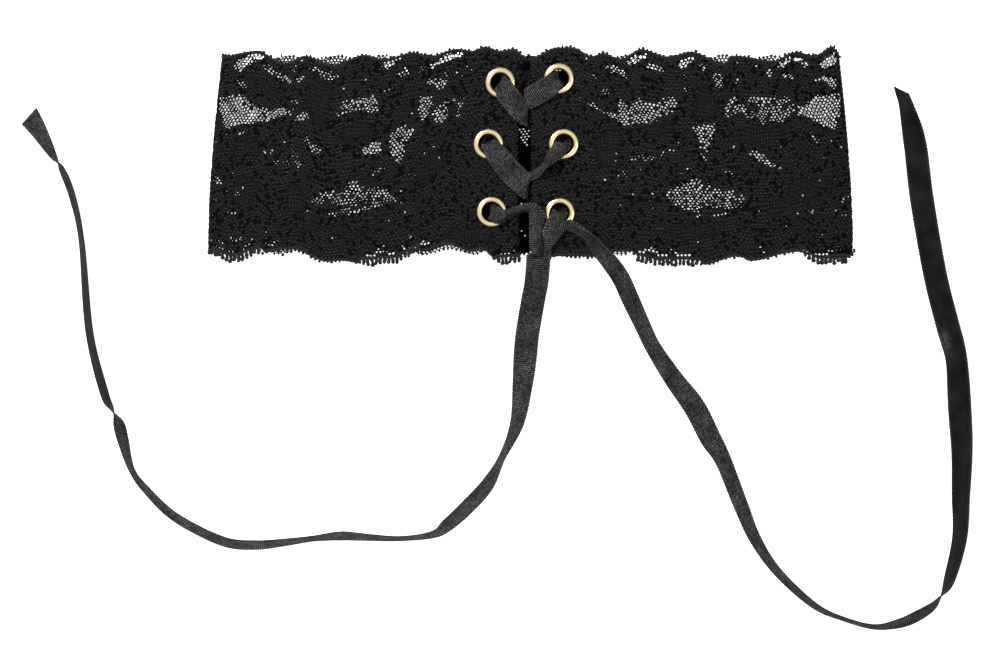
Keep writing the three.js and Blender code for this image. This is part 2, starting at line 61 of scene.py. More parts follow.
# Ribbon
# One length of 6 mm satin ribbon, woven polyester with a dull ribbed face and a glossy one. From a bar hidden
# behind the top eyelets it laces down the front, is tied in a half knot, and its two ends, cut by hand with
# scissors, run out loose on the surface, partly turned on edge.
RIBBON_WIDTH = 6
RIBBON_THICKNESS = 0.35
RIBBON_STEP = 0.2  # mesh along the ribbon
PATH_STEP = 2  # of the line that tells how it runs
MERGE_DISTANCE = 1e-4
SELVEDGE_PITCH = 0.8  # of the small loops that the weft makes at each edge
SELVEDGE_DEPTH = 0.09
SELVEDGE_AT = 0.48  # part of the width, from the middle, where they begin
ARCH = 0.15  # of the ribbon's section where it lies flat, and how much more where it is bunched
BUNCHED_ARCH = 1.1
ARCH_MEAN = 0.64  # taken off the arch, so that it swings about the ribbon's own line
PLEAT_DEPTH = 0.25  # of three lengthwise pleats where it is bunched
PLEAT_DRIFT = 6  # millimetres along it to a radian of their wandering
WAVES = [(0.05, 2.3), (0.04, 5.1)]  # depth of the two soft waves along it, and millimetres to a radian
CURL_LENGTH = 3  # of the curled edge, either way
CURL_RISE = 0.5
RAKING_LIGHT_PAINTED = 0.9  # how far the dull face's lighter, ribbed look is painted over the glossy face there, as painted light raking across the weave
SURFACE_CLEARANCE = 0.05
SPARE_WALL = 0.65  # how much thicker the solid's ribbon is than the real one
PLACKET_TOP_Z = 6.6
OVER_SINK = 0.7  # a thin ribbon lies this share as high over the rims as the solid one
OVER_RIM_Z = 8.6
BEHIND_RIM_Z = 2.8
# Half of the ribbon's section: parts of its width, and of its half thickness.
SECTION = [
    (-0.5, 0), (-0.487, 0.7), (-0.455, 1), (-0.36, 1), (-0.27, 1), (-0.18, 1), (-0.09, 1), (0, 1), (0.09, 1),
    (0.18, 1), (0.27, 1), (0.36, 1), (0.455, 1), (0.487, 0.7), (0.5, 0),
]

# Free ends, from the knot to their tips: x, y of the middle, roll about the ribbon's own line in degrees, and
# how far its lower edge is off the surface.
LEFT_TAIL = [
    (1.9, -26.6, 0, 7.5), (1.5, -31.3, 0, 5.4), (0.6, -36.3, 0, 2.4), (-0.3, -41.5, 0, 0.4),
    (-1, -46.5, 4, 0), (-2, -56.8, 38, 0), (-3.5, -67, 62, 0), (-7.2, -75.5, 80, 0),
    (-10.9, -82.3, 64, 0), (-16.4, -88.3, 61, 0), (-21.1, -92.5, 66, 0), (-24.6, -94.7, 81, 0),
    (-32.4, -95.7, 88, 0), (-40.4, -95.4, 84, 0), (-47.4, -95, 78, 0), (-54.6, -95.7, 85, 0),
    (-61.1, -96.6, 81, 0), (-68.9, -97.3, 77, 0), (-77.1, -96.3, 77, 0), (-88.9, -90.3, 78, 0),
    (-96.3, -83.3, 83, 0), (-99.8, -78.4, 87, 0), (-102, -70.8, 72, 0), (-103, -67, 73, 0),
    (-104.6, -63.5, 93, 0), (-106.7, -59.3, 108, 0), (-110.4, -44, 106, 0), (-112.4, -21, 101, 0),
    (-114.7, -10, 103, 0), (-117.3, -3.3, 99, 0), (-119.2, -0.3, 84, 0), (-122.8, 5.9, 58, 0),
    (-125.6, 10, 34, 0), (-126.1, 10.7, 32, 0),
]
LEFT_CUT = 1.6  # how much longer one edge is than the other at the tip
RIGHT_TAIL = [
    (16.65, -23.2, 62, 7), (19.6, -26.6, 54, 6.6), (22.5, -30.7, 50, 4.6), (25.1, -36.3, 50, 2.2),
    (27.8, -42, 55, 0.5), (30.6, -47.8, 57, 0), (35.6, -55.5, 46, 0), (41.1, -63, 30, 0),
    (45.1, -70.8, 35, 0), (48.3, -76.5, 55, 0), (52.6, -87.5, 61, 0), (56.2, -95.9, 68, 0),
    (61.9, -104.2, 76, 0), (71, -112.5, 81, 0), (78.2, -115.8, 85, 0), (85.9, -117.8, 82, 0),
    (92.1, -117, 71, 0), (96.3, -115.4, 67, 0), (100.4, -112.9, 73, 0), (102.4, -110.5, 87, 0),
    (104.6, -106.5, 104, 0), (107.3, -95.7, 117, 0), (107.7, -84.8, 130, 0), (108, -74, 142, 0),
    (107.5, -63, 158, 0), (106.8, -52.3, 147, 0), (105.8, -46.8, 150, 0), (104.3, -41.5, 160, 0),
    (101.3, -29.3, 161, 0), (98.1, -10.9, 164, 0), (96.3, 3, 153, 0), (94.1, 12.2, 118, 0),
    (92.7, 16.4, 109, 0), (92.2, 17.9, 107, 0),
]
RIGHT_CUT = 3
CURLED_ROW = 26.2  # of the right end's table: one edge is lifted a little here, and around it the dull face's lighter, ribbed look is painted over the glossy face as painted light raking across the weave
EYELETS = {
    # x, y, heading as the ribbon comes up from behind, heading as it leaves, and the heading of its width and
    # its size where it bends over the rim
    "top_left": (-7.6, 18.2, 180, -60, 42, 5.5),
    "top_right": (7.05, 19.2, 0, 221, 123, 5.4),
    "middle_left": (-10.55, 2.9, 231, -52, 38, 5.4),
    "middle_right": (8.25, 2.9, -33, 231, 158, 4.1),
    "bottom_left": (-9.75, -14, 219, -30, 58, 4.1),
    "bottom_right": (7.25, -14.3, -33, 240, 150, 3.6),
}


def through_eyelet(name):
    """Rows of the ribbon as it comes up through an eyelet from behind and bends over its rim."""
    x, y, arrives, leaves, lies, over_rim = EYELETS[name]
    # heading, how far along it from the middle of the hole, z, width, and the heading of the width
    stages = [
        (arrives, -4.2, BEHIND_RIM_Z - 0.15, 5.2, arrives + 90),
        (arrives, -1.2, BEHIND_RIM_Z + 0.15, 4.2, arrives + 90), (arrives, -0.1, 4.6, 4, arrives + 90),
        (leaves, 0.1, 6.9, 4, lies),
        (leaves, 1.1, OVER_RIM_Z - 0.1, min(4.6, over_rim), lies),
        (leaves, 2.8, OVER_RIM_Z + 0.15, over_rim, lies),
    ]
    rows = []
    for heading, reach, z, width, turn in stages:
        heading = math.radians(heading)
        rows.append((x + reach * math.cos(heading), y + reach * math.sin(heading), z, width, turn))
    return rows


# The laced stretch, from the bar to the knot: x, y, z of the middle, width as bunched, heading of the width
# in plan, and how far the width tilts from level.
BEHIND_BAR = [(-0.2, 18.7, BEHIND_RIM_Z, 5.6, 90)]
STRAND_FROM_LEFT = [
    *through_eyelet("top_left"),
    (-4.5, 13.6, 8.3, 5.5, 42), (-2.7, 11.3, 8.1, 5.3, 50, -4), (-1.5, 10, 7.5, 4.8, 64, -6),
    (-0.9, 9.4, 6.4, 4.4, 90), (-0.85, 9.1, 4.9, 4.4, 94), (-0.3, 8.7, 3.4, 4.6, 90),
    (1.6, 7.5, 2.9, 5.2, 66),
    *through_eyelet("middle_right"),
    (4.7, -0.9, 9, 3.6, 140, -38), (2.9, -2.9, 8.7, 3.2, 135, -58), (1.3, -4.4, 7.8, 2.5, 126, -20),
    (-0.6, -5.4, 7.3, 2.4, 112), (-1.9, -6, 6.2, 2.6, 100), (-1.9, -6.3, 4.9, 2.8, 92),
    (-2.7, -7, 3.4, 3.4, 100), (-4.7, -9.1, 3, 4.4, 118),
    *through_eyelet("bottom_left"),
    (-5.4, -14.5, 8.3, 2.5, 108), (-3.3, -13.6, 8.1, 2.1, 108), (-1.2, -13.05, 8.8, 2.3, 98),
    (0.4, -13.2, 9.7, 3, 56), (1.5, -14.4, 10, 4.1, -2), (1.5, -16.4, 10.1, 3.9, -14),
    (1.15, -18.6, 10.3, 3.1, 0), (1.1, -21, 10.7, 3, 0), (1.05, -23.1, 11, 2.7, 0),
    (1.05, -24.2, 10.9, 1.9, 0), (1.1, -24.7, 10, 1.4, -4), (1.5, -23.5, 8.7, 2, -14),
    (3.3, -21, 7.45, 3, -32), (5, -19.9, 7.6, 3, -44), (7, -18.9, 8.6, 2.8, -66),
    (8.8, -17.5, 9.2, 3, -97, -20), (10.7, -18.1, 9.1, 3.8, -114, -46), (12.8, -19.4, 9.2, 4.6, -125, -57),
    (14.7, -20.9, 9.5, 5.4, -134, -60),
]
STRAND_FROM_RIGHT = [
    *through_eyelet("top_right"),
    (3.3, 16.4, 8.1, 5.5, 122), (1, 15, 7.75, 5.5, 120), (-0.8, 14, 7.4, 5.2, 108),
    (-1.4, 13.7, 6.6, 4.8, 92),
    (-1.55, 13.5, 4.8, 4.8, 84), (-2.2, 13, 3.3, 4.8, 88), (-4.9, 10.8, 2.9, 5.4, 116),
    (-6.8, 8, BEHIND_RIM_Z, 5.6, 134),
    *through_eyelet("middle_left"),
    (-7.3, -1.3, 8.3, 5.8, 40), (-5.4, -3.6, 8.3, 6, 42), (-3.4, -5.6, 8.6, 6, 44), (-1.9, -7, 8.5, 5.9, 48),
    (-1.15, -8.1, 7.7, 5.4, 64), (-0.85, -8.5, 6.5, 5, 84), (-0.75, -8.8, 4.7, 4.8, 90),
    (0, -9.4, 3.5, 4.9, 82), (1.8, -10.6, 2.9, 5.2, 66),
    *through_eyelet("bottom_right"),
    (5.55, -18.7, 9.2, 5.7, 184), (5.2, -20.3, 9, 4.5, 186), (4.8, -21.9, 8.7, 3.3, 184),
    (4.1, -23.2, 8.2, 2.4, 182), (2.2, -24.7, 7.5, RIBBON_WIDTH, 180),
]


def colour(code):
    """A hex sRGB colour as linear RGBA."""
    parts = [int(code[i:i + 2], 16) / 255 for i in (1, 3, 5)]
    return (*(p / 12.92 if p <= 0.04045 else ((p + 0.055) / 1.055) ** 2.4 for p in parts), 1)


def add(tree, kind, inputs, **settings):
    """Adds a node with its settings. An input is given a value, or the output that it is linked to. A Mix
    node takes its two colours at inputs 6 and 7, and gives the mixed one at output 2."""
    made = tree.nodes.new(kind)
    for name, value in settings.items():
        setattr(made, name, value)
    for name, value in inputs.items():
        if isinstance(value, bpy.types.NodeSocket):
            tree.links.new(value, made.inputs[name])
        else:
            made.inputs[name].default_value = value
    return made


def new_material(name):
    """An empty material, with its node tree."""
    made = bpy.data.materials.new(name)
    made.use_nodes = True
    made.node_tree.nodes.clear()
    return made, made.node_tree


def finish_piece(name, bm, material):
    """Turns a bmesh in millimetres into a smooth-shaded piece that rides with the choker."""
    bmesh.ops.scale(bm, vec=(MM, MM, MM), verts=bm.verts)
    mesh = bpy.data.meshes.new(name)
    bm.to_mesh(mesh)
    bm.free()
    mesh.shade_smooth()
    mesh.materials.append(material)
    piece = bpy.data.objects.new(name, mesh)
    scene.collection.objects.link(piece)
    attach(piece, "root")
    return piece


def smooth_between(low, high, at):
    """0 up to `low`, 1 from `high`, eased between."""
    part = np.clip((at - low) / (high - low), 0, 1)
    return part * part * (3 - 2 * part)


def curve_through(points, at):
    """Points of a smooth curve through `points`, at row numbers `at`, with its ends run on straight."""
    row = np.clip(np.floor(at).astype(int), 0, len(points) - 2)
    part = (at - row)[:, None]
    run_on = np.vstack([2 * points[0] - points[1], points, 2 * points[-1] - points[-2]])
    before, start, end, after = (run_on[row + i] for i in range(4))
    leave, arrive = (end - before) / 2, (after - start) / 2
    square, cube = part**2, part**3
    return ((2 * cube - 3 * square + 1) * start + (cube - 2 * square + part) * leave
            + (3 * square - 2 * cube) * end + (cube - square) * arrive)


def sunk(z, below_middle):
    """A height over the placket, brought down from where the solid's thick ribbon lies to where a thin one
    does."""
    return z - (1 - OVER_SINK) * max(0, z - below_middle - PLACKET_TOP_Z)


def laced(x, y, z, width, turn, tilt=0):
    """A row of the laced stretch, with its height brought down for a thin ribbon."""
    return (x, y, sunk(z, width / 2 * abs(math.sin(math.radians(tilt)))), width, turn, tilt)


def laid(route):
    """Rows of a free end: its middle stands as high as its roll needs. The solid's thick wall looks wider on
    edge than the thin ribbon, which is rolled a little flatter for that."""
    rows = []
    for i, (x, y, roll, lift) in enumerate(route):
        before, after = route[max(i - 1, 0)], route[min(i + 1, len(route) - 1)]
        heading = math.degrees(math.atan2(after[1] - before[1], after[0] - before[0]))
        flat, upright = math.cos(math.radians(roll)), math.sin(math.radians(roll))
        flat = math.copysign(min(1, abs(flat) + SPARE_WALL / RIBBON_WIDTH * upright), flat)
        rolled = math.acos(flat)
        stand = (RIBBON_WIDTH * math.sin(rolled) + RIBBON_THICKNESS * abs(flat)) / 2
        rows.append((x, y, sunk(lift, 0) + stand + SURFACE_CLEARANCE, RIBBON_WIDTH, heading + 90,
                     math.degrees(rolled)))
    return rows


def unwound(rows):
    """Rows with each turn close to the last: a ribbon's turn may be half a turn off, which tilts it the other
    way."""
    table = np.array(rows, float)
    for i in range(1, len(table)):
        half_turns = round((table[i - 1, 4] - table[i, 4]) / 180)
        table[i, 4] += 180 * half_turns
        table[i, 5] *= -1 if half_turns % 2 else 1
    return table


# The whole ribbon, from the tip of its left end to the tip of its right end.
RIBBON_ROWS = unwound([
    *reversed(laid(LEFT_TAIL)), *(laced(*row) for row in reversed(STRAND_FROM_RIGHT)),
    *(laced(*row) for row in BEHIND_BAR + STRAND_FROM_LEFT), *laid(RIGHT_TAIL),
])
FINE_STEPS = 80  # from row to row, to measure along the ribbon
NEAR = 0.01  # of a row, to either side, to find which way it runs
FINE = np.linspace(0, len(RIBBON_ROWS) - 1, len(RIBBON_ROWS) * FINE_STEPS)
MIDDLE = curve_through(RIBBON_ROWS[:, :3], FINE)
RUN = np.concatenate([[0], np.cumsum(np.linalg.norm(np.diff(MIDDLE, axis=0), axis=1))])
KNOT_LEFT = np.interp(len(LEFT_TAIL) - 1, FINE, RUN)
KNOT_RIGHT = np.interp(len(RIBBON_ROWS) - len(RIGHT_TAIL), FINE, RUN)
CURLED_AT = np.interp(len(RIBBON_ROWS) - len(RIGHT_TAIL) + CURLED_ROW, FINE, RUN)


def ribbon_at(along):
    """Middle, direction of the width, width and upper normal of the ribbon at distances along it."""
    at = np.interp(along, RUN, FINE)
    centre = curve_through(RIBBON_ROWS[:, :3], at)
    ahead = curve_through(RIBBON_ROWS[:, :3], np.minimum(at + NEAR, len(RIBBON_ROWS) - 1))
    behind = curve_through(RIBBON_ROWS[:, :3], np.maximum(at - NEAR, 0))
    width, turn, tilt = curve_through(RIBBON_ROWS[:, 3:], at).T
    turn, tilt = np.radians(turn), np.radians(tilt)
    across = np.stack([np.cos(tilt) * np.cos(turn), np.cos(tilt) * np.sin(turn), np.sin(tilt)], axis=1)
    normal = np.cross(ahead - behind, across)
    return centre, across, width, normal / np.linalg.norm(normal, axis=1)[:, None]


def ribbon_piece(name, start, end, start_cut=0, end_cut=0, dull_up_at=None):
    """The ribbon between two distances along it: a flat closed tube, whose ends are cut at a slant. Where it
    is narrower than the real ribbon it is bunched. Its dull face is the one that is up at `dull_up_at`, or up
    all along where it turns over out of sight."""
    steps = round((end - start) / RIBBON_STEP)
    sides = len(SECTION) - 1
    bm = bmesh.new()
    bmesh.ops.create_grid(bm, x_segments=steps, y_segments=2 * sides, size=0.5)
    flat = np.array([v.co[:] for v in bm.verts])
    row = np.round((flat[:, 1] + 0.5) * 2 * sides).astype(int)
    part, share = np.array(SECTION)[np.where(row > sides, 2 * sides - row, row)].T
    share = np.where(row > sides, -share, share)
    first = start + abs(start_cut) / 2 + start_cut * part
    last = end - abs(end_cut) / 2 + end_cut * part
    along = first + (flat[:, 0] + 0.5) * (last - first)
    centre, across, width, normal = ribbon_at(along)
    bunched = np.clip(1 - width / RIBBON_WIDTH, 0, 1)
    arch = (ARCH + BUNCHED_ARCH * bunched) * (np.cos(np.pi * part) - ARCH_MEAN) * normal[:, 2]
    pleat = PLEAT_DEPTH * bunched * np.cos(3 * np.pi * part + along / PLEAT_DRIFT)
    (high, short), (low, long) = WAVES
    wave = high * np.sin(along / short) * np.cos(np.pi * part) + low * np.sin(along / long + 4 * part)
    curled = np.exp(-((along - CURLED_AT) / CURL_LENGTH)**2) * smooth_between(0, 0.2, part)
    loops = SELVEDGE_DEPTH * np.cos(2 * np.pi * along / SELVEDGE_PITCH) * (np.abs(part) > SELVEDGE_AT)
    reach = part * width + np.sign(part) * loops
    out = arch + pleat + wave + CURL_RISE * curled * np.sign(normal[:, 2]) + share * RIBBON_THICKNESS / 2
    place = centre + across * reach[:, None] + normal * out[:, None]
    up = normal[:, 2] if dull_up_at is None else ribbon_at(np.full(len(along), dull_up_at))[3][:, 2]
    # Painted light: around the lifted edge the glossy face is given the dull face's lighter, ribbed colour,
    # for light raking across its weave.
    dull = np.maximum(0.5 + 0.5 * np.sign(share) * np.sign(up), RAKING_LIGHT_PAINTED * curled)
    woven = bm.loops.layers.uv.new("woven_mm")
    face_shown = bm.verts.layers.float.new("dull_face")
    bm.verts.index_update()
    for i, v in enumerate(bm.verts):
        v.co = place[i]
        v[face_shown] = dull[i]
    for face in bm.faces:
        for corner in face.loops:
            i = corner.vert.index
            corner[woven].uv = (along[i], part[i] * RIBBON_WIDTH)
    bmesh.ops.remove_doubles(bm, verts=bm.verts, dist=MERGE_DISTANCE)
    rims = [e for e in bm.edges if e.is_boundary]
    bmesh.ops.holes_fill(bm, edges=rims, sides=0)
    for edge in rims:
        edge.smooth = False
    bmesh.ops.recalc_face_normals(bm, faces=bm.faces)
    piece = finish_piece(name, bm, satin)
    line = ribbon_at(np.linspace(start, end, round((end - start) / PATH_STEP)))[0]
    return piece, line * MM


# Satin-woven polyester, black. The dull face shows short floats of the weft, stacked like bricks into fine
# crosswise ribs, with painted shade between them. The glossy face is long smooth floats of the warp, darker,
# with faint streaks along it, and both selvedges are dotted with the weft's turns, each carrying a painted
# highlight. The ribs are really 0.2 mm apart, and are drawn at 0.52 mm so that they show.
RIB_PITCH = 0.52
FLOAT_LENGTH = 0.66  # of one short float of the weft
FLOAT_GAP = 0.13
STREAKS_A_MM = (0.35, 4.5, 1)  # of the warp, along the ribbon and across it
satin, tree = new_material("satin_woven_polyester_black")
uv = add(tree, "ShaderNodeUVMap", {}, uv_map="woven_mm")
dull = add(tree, "ShaderNodeAttribute", {}, attribute_name="dull_face")
split = add(tree, "ShaderNodeSeparateXYZ", {"Vector": uv.outputs[0]})
over = add(tree, "ShaderNodeCombineXYZ", {"X": split.outputs["Y"], "Y": split.outputs["X"]})
# Painted shade: the mortar between the floats is near black, for the shade in the valleys between them.
floats = add(tree, "ShaderNodeTexBrick", {
    "Vector": over.outputs[0], "Scale": 1, "Color1": colour("#2f2d2e"), "Color2": colour("#53504f"),
    "Mortar": colour("#030304"), "Mortar Size": FLOAT_GAP, "Mortar Smooth": 0.8,
    "Brick Width": FLOAT_LENGTH, "Row Height": RIB_PITCH}, offset=0.5)
warp_at = add(tree, "ShaderNodeMapping", {"Vector": uv.outputs[0], "Scale": STREAKS_A_MM})
warp = add(tree, "ShaderNodeTexNoise", {
    "Vector": warp_at.outputs[0], "Scale": 1, "Detail": 3, "Roughness": 0.6})
sheen = add(tree, "ShaderNodeMix", {
    "Factor": warp.outputs["Fac"], 6: colour("#080707"), 7: colour("#211e20")}, data_type="RGBA")
off_middle = add(tree, "ShaderNodeMath", {0: split.outputs["Y"]}, operation="ABSOLUTE")
selvedge = add(tree, "ShaderNodeMapRange", {"Value": off_middle.outputs[0], "From Min": 2.3, "From Max": 2.7})
dots_at = add(tree, "ShaderNodeMath", {0: split.outputs["X"], 1: 2 * math.pi / SELVEDGE_PITCH},
              operation="MULTIPLY")
dots = add(tree, "ShaderNodeMath", {0: dots_at.outputs[0]}, operation="COSINE")
dots = add(tree, "ShaderNodeMapRange", {"Value": dots.outputs[0], "From Min": -0.4, "From Max": 0.9})
dots = add(tree, "ShaderNodeMath", {0: dots.outputs[0], 1: selvedge.outputs[0]}, operation="MULTIPLY")
# The ground colour is made lighter and darker over broad patches a few millimetres across.
broad_patches = add(tree, "ShaderNodeTexNoise", {"Vector": uv.outputs[0], "Scale": 0.2, "Detail": 3})
broad_patches = add(tree, "ShaderNodeMapRange", {
    "Value": broad_patches.outputs["Fac"], "From Min": 0.35, "From Max": 0.65, "To Min": 0.65, "To Max": 1.35})
ground = add(tree, "ShaderNodeMix", {
    "Factor": dull.outputs["Fac"], 6: sheen.outputs[2], 7: floats.outputs["Color"]}, data_type="RGBA")
ground = add(tree, "ShaderNodeMix", {
    "Factor": 1, 6: ground.outputs[2], 7: broad_patches.outputs[0]}, data_type="RGBA", blend_type="MULTIPLY")
# Painted highlight: each weft turn along the selvedges is mixed towards a lighter grey, for light catching
# the loop.
lit = add(tree, "ShaderNodeMath", {0: dots.outputs[0], 1: 0.5}, operation="MULTIPLY")
ground_with_painted_glints = add(tree, "ShaderNodeMix", {
    "Factor": lit.outputs[0], 6: ground.outputs[2], 7: colour("#48484c")}, data_type="RGBA")
ribs = add(tree, "ShaderNodeMath", {0: floats.outputs["Fac"], 1: dull.outputs["Fac"]}, operation="MULTIPLY")
relief = add(tree, "ShaderNodeMath", {0: ribs.outputs[0], 1: -1, 2: warp.outputs["Fac"]},
             operation="MULTIPLY_ADD")
relief = add(tree, "ShaderNodeMath", {0: dots.outputs[0], 1: 0.8, 2: relief.outputs[0]},
             operation="MULTIPLY_ADD")
bump = add(tree, "ShaderNodeBump", {"Height": relief.outputs[0], "Strength": 0.8, "Distance": 0.08 * MM})
gloss = add(tree, "ShaderNodeMapRange", {"Value": dull.outputs["Fac"], "To Min": 0.62, "To Max": 0.78})
shader = add(tree, "ShaderNodeBsdfPrincipled", {
    "Base Color": ground_with_painted_glints.outputs[2], "Roughness": gloss.outputs[0], "Normal": bump.outputs[0],
    "Specular IOR Level": 0.02})
add(tree, "ShaderNodeOutputMaterial", {"Surface": shader.outputs[0]})

left_tail, left_line = ribbon_piece("satin_tail_left", 0, KNOT_LEFT, start_cut=LEFT_CUT, dull_up_at=KNOT_LEFT)
lacing, _ = ribbon_piece("satin_lacing", KNOT_LEFT, KNOT_RIGHT)
right_tail, right_line = ribbon_piece(
    "satin_tail_right", KNOT_RIGHT, RUN[-1], end_cut=RIGHT_CUT, dull_up_at=KNOT_RIGHT)
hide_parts("ribbon_lacing")
for tail, line, length, name in (
        (left_tail, left_line[::-1], KNOT_LEFT, "ribbon_tail_left"),
        (right_tail, right_line, RUN[-1] - KNOT_RIGHT, "ribbon_tail_right")):
    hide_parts(name)

# Eyelets
# Six two-part eyelets of thin brass strip, drawn to a domed flange and a barrel, whose end is rolled out
# behind the placket by the setting tool. Bright pale gold plate.
EYELET_DOME = (3.05, 0.84, 6.63, 0.8)  # middle radius, half width, seat and height of the flange
EYELET_BACK = (2.95, 0.7, 5.2, 0.55)  # the same for the rolled back, which bulges downwards
SHEET_METAL = 0.25
DOME_STEP = 15
EYELET_SIDES = 64

# Drawn and barrel-polished: mirror-bright but for faint rings left by the drawing die, pale on the flange,
# with painted shade that turns it a deeper, browner gold down the barrel and into the hole. The rings are
# really finer, and are drawn 0.16 mm apart to show.
RING_PITCH = 0.16
HOLE_SHADE_FULL_TO = 2.35  # radius up to which the painted shade in the hole is at its deepest, and radius where it ends
HOLE_SHADE_ENDS_AT = 2.95
brass, tree = new_material("brass_drawn_and_gold_plated")
where = add(tree, "ShaderNodeAttribute", {}, attribute_name="off_axis_mm")
rings_at = add(tree, "ShaderNodeMath", {0: where.outputs["Fac"], 1: 2 * math.pi / RING_PITCH},
               operation="MULTIPLY")
rings = add(tree, "ShaderNodeMath", {0: rings_at.outputs[0]}, operation="SINE")
place = add(tree, "ShaderNodeTexCoord", {})
handled = add(tree, "ShaderNodeTexNoise", {"Vector": place.outputs["Object"], "Scale": 900, "Detail": 3})
relief = add(tree, "ShaderNodeMath", {0: rings.outputs[0], 1: 0.25, 2: handled.outputs["Fac"]},
             operation="MULTIPLY_ADD")
bump = add(tree, "ShaderNodeBump", {"Height": relief.outputs[0], "Strength": 0.12, "Distance": 0.03 * MM})
# Painted shade: the gold is mixed towards a deeper brown from the flange in to the barrel, where the hole
# lies in shade.
hole_shade = add(tree, "ShaderNodeMapRange", {
    "Value": where.outputs["Fac"], "From Min": HOLE_SHADE_FULL_TO, "From Max": HOLE_SHADE_ENDS_AT, "To Min": 1,
    "To Max": 0})
tone = add(tree, "ShaderNodeMix", {
    "Factor": hole_shade.outputs[0], 6: colour("#f7e3b4"), 7: colour("#a87a40")}, data_type="RGBA")
gloss = add(tree, "ShaderNodeMapRange", {"Value": handled.outputs["Fac"], "To Min": 0.1, "To Max": 0.24})
shader = add(tree, "ShaderNodeBsdfPrincipled", {
    "Base Color": tone.outputs[2], "Metallic": 1, "Roughness": gloss.outputs[0], "Normal": bump.outputs[0]})
add(tree, "ShaderNodeOutputMaterial", {"Surface": shader.outputs[0]})


def eyelet_section():
    """The section of the sheet metal as radius and height: out over the dome, down the barrel, round the
    rolled back, and back along the inside."""
    dome_r, dome_half, seat, dome_high = EYELET_DOME
    back_r, back_half, back_seat, back_deep = EYELET_BACK
    turns = [math.radians(a) for a in range(0, 181, DOME_STEP)]

    def arc(radius, half, level, rise):
        return [(radius + half * math.cos(a), level + rise * math.sin(a)) for a in turns]

    outer = arc(dome_r, dome_half, seat, dome_high)
    rolled = arc(back_r, -back_half, back_seat, -back_deep)
    within = arc(back_r, back_half - SHEET_METAL, back_seat, SHEET_METAL - back_deep)
    under = arc(dome_r, SHEET_METAL - dome_half, seat, dome_high - SHEET_METAL)
    return outer + rolled + within + under


for name, (x, y, *_) in EYELETS.items():
    bm = bmesh.new()
    section = [bm.verts.new((radius, 0, z)) for radius, z in eyelet_section()]
    rim = [bm.edges.new((a, b)) for a, b in zip(section, section[1:] + section[:1])]
    bmesh.ops.spin(bm, geom=section + rim, cent=(0, 0, 0), axis=(0, 0, 1), angle=2 * math.pi,
                   steps=EYELET_SIDES, use_merge=True)
    bmesh.ops.recalc_face_normals(bm, faces=bm.faces)
    off_axis = bm.verts.layers.float.new("off_axis_mm")
    for v in bm.verts:
        v[off_axis] = math.hypot(v.co.x, v.co.y)
    bmesh.ops.translate(bm, vec=(x, y, 0), verts=bm.verts)
    ring = finish_piece(f"brass_eyelet_{name}", bm, brass)
    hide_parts(f"eyelet_{name}")

# Lace
# A wide stretch galloon lace, warp-knitted from black nylon and elastane: a net of six-sided holes, filled in
# solid for the flowers and leaves. One strip makes the loop, and each end is turned back 13 mm as a placket.
# It is shown in four panels, from the lacing to the side folds and on to the middle of the back.
LACE_THICKNESS = 0.3
BAND_HALF_WIDTH = 80.7  # at its widest, near the bottom edge
TOP_NARROWING = 3.6  # what each side draws in by at the top edge
NARROWING_POWER = 1.5
WIDEST_Y = -19
TOP_Y = 26
PLACKET_DEPTH = 13
FOLD_CENTRE = (78.8, 1.9)  # x and z of the side folds, right side
FOLD_RADIUS = 1.725
FOLD_START = 60  # degrees above level, where the front's slope runs into the fold
MEETING_ROW = 16  # of the fold's 29 rows: the front and back panels meet here, a little below its outermost
BACK_Z = 0.175
CLOTH_OFFSET = 0.325  # from the middle of the solid's wall to the cloth near its outer face
INNER_Z = 5.45  # the turned-back layer of the placket
PLACKET_FOLD = 0.4875  # radius
EDGE_TRIM = 0.45  # what the picots stand out from the cloth's own edge
RAW_END_INSET = 0.5  # by which the turned-back end is cut narrower, so that the front hides it
# x and z of the front's wall, from the lacing out to the side fold
FRONT_SWELL = [(0, 6.1), (9, 6.1), (17, 6.1), (38, 6.8), (56, 6.55), (68, 5.75), (75.5, 4.7), (79.5, 3.11)]
# x of the plackets' inner edges, by height
LEFT_GAP = [(-28, -2.7), (-6, -3.2), (6, -3.1), (16, -2.8), (28, -1.2)]
RIGHT_GAP = [(-28, 0.4), (-6, 0.2), (6, 0.1), (16, 0), (28, -0.4)]
# x, y of the crests and dips of the front's two edges
FRONT_TOP_EDGE = [
    (-77.1, 25.5), (-68.4, 26.6), (-60.9, 23.6), (-55.9, 25.3), (-48.6, 23), (-41.3, 25.6), (-36.6, 24.5),
    (-29.3, 26.2), (-25.1, 25.3), (-18.4, 27.1), (-14.7, 26.6), (-11.1, 27.7), (-7.9, 26.6), (-4.4, 27),
    (-0.5, 24.7), (6.9, 27.5), (10.1, 27.5), (15.6, 25.3), (17.9, 26.1), (22.6, 24.6), (27.6, 27),
    (34.4, 25.1), (40.1, 26.4), (47.6, 23.5), (51.4, 25.4), (60, 24.1), (65.9, 26.3), (70.9, 25.5),
    (75.7, 27.9), (77.2, 26),
]
FRONT_BOTTOM_EDGE = [
    (-80.6, -24.6), (-74.5, -26.8), (-66.9, -24.6), (-59.6, -23.8), (-50.5, -27), (-47.4, -26.7),
    (-40, -27.7), (-35.4, -27.4), (-27.2, -24.4), (-20.4, -22.5), (-15, -24.5), (-12.4, -23.8),
    (-7.4, -27.2), (-1.4, -26.8), (7.9, -25.5), (16.1, -25.8), (21, -24.4), (25.1, -24.4), (27.6, -26.9),
    (32.4, -27.7), (42.6, -27.7), (51.9, -25.7), (54.9, -26.7), (66.6, -24.4), (72.1, -27.5),
    (78.6, -26.9), (80.4, -25),
]
SCALLOP_PITCH = 12.1  # of the back layer
BACK_TOP = (25, 0.7, -0.2)  # middle, swing, and x of a crest
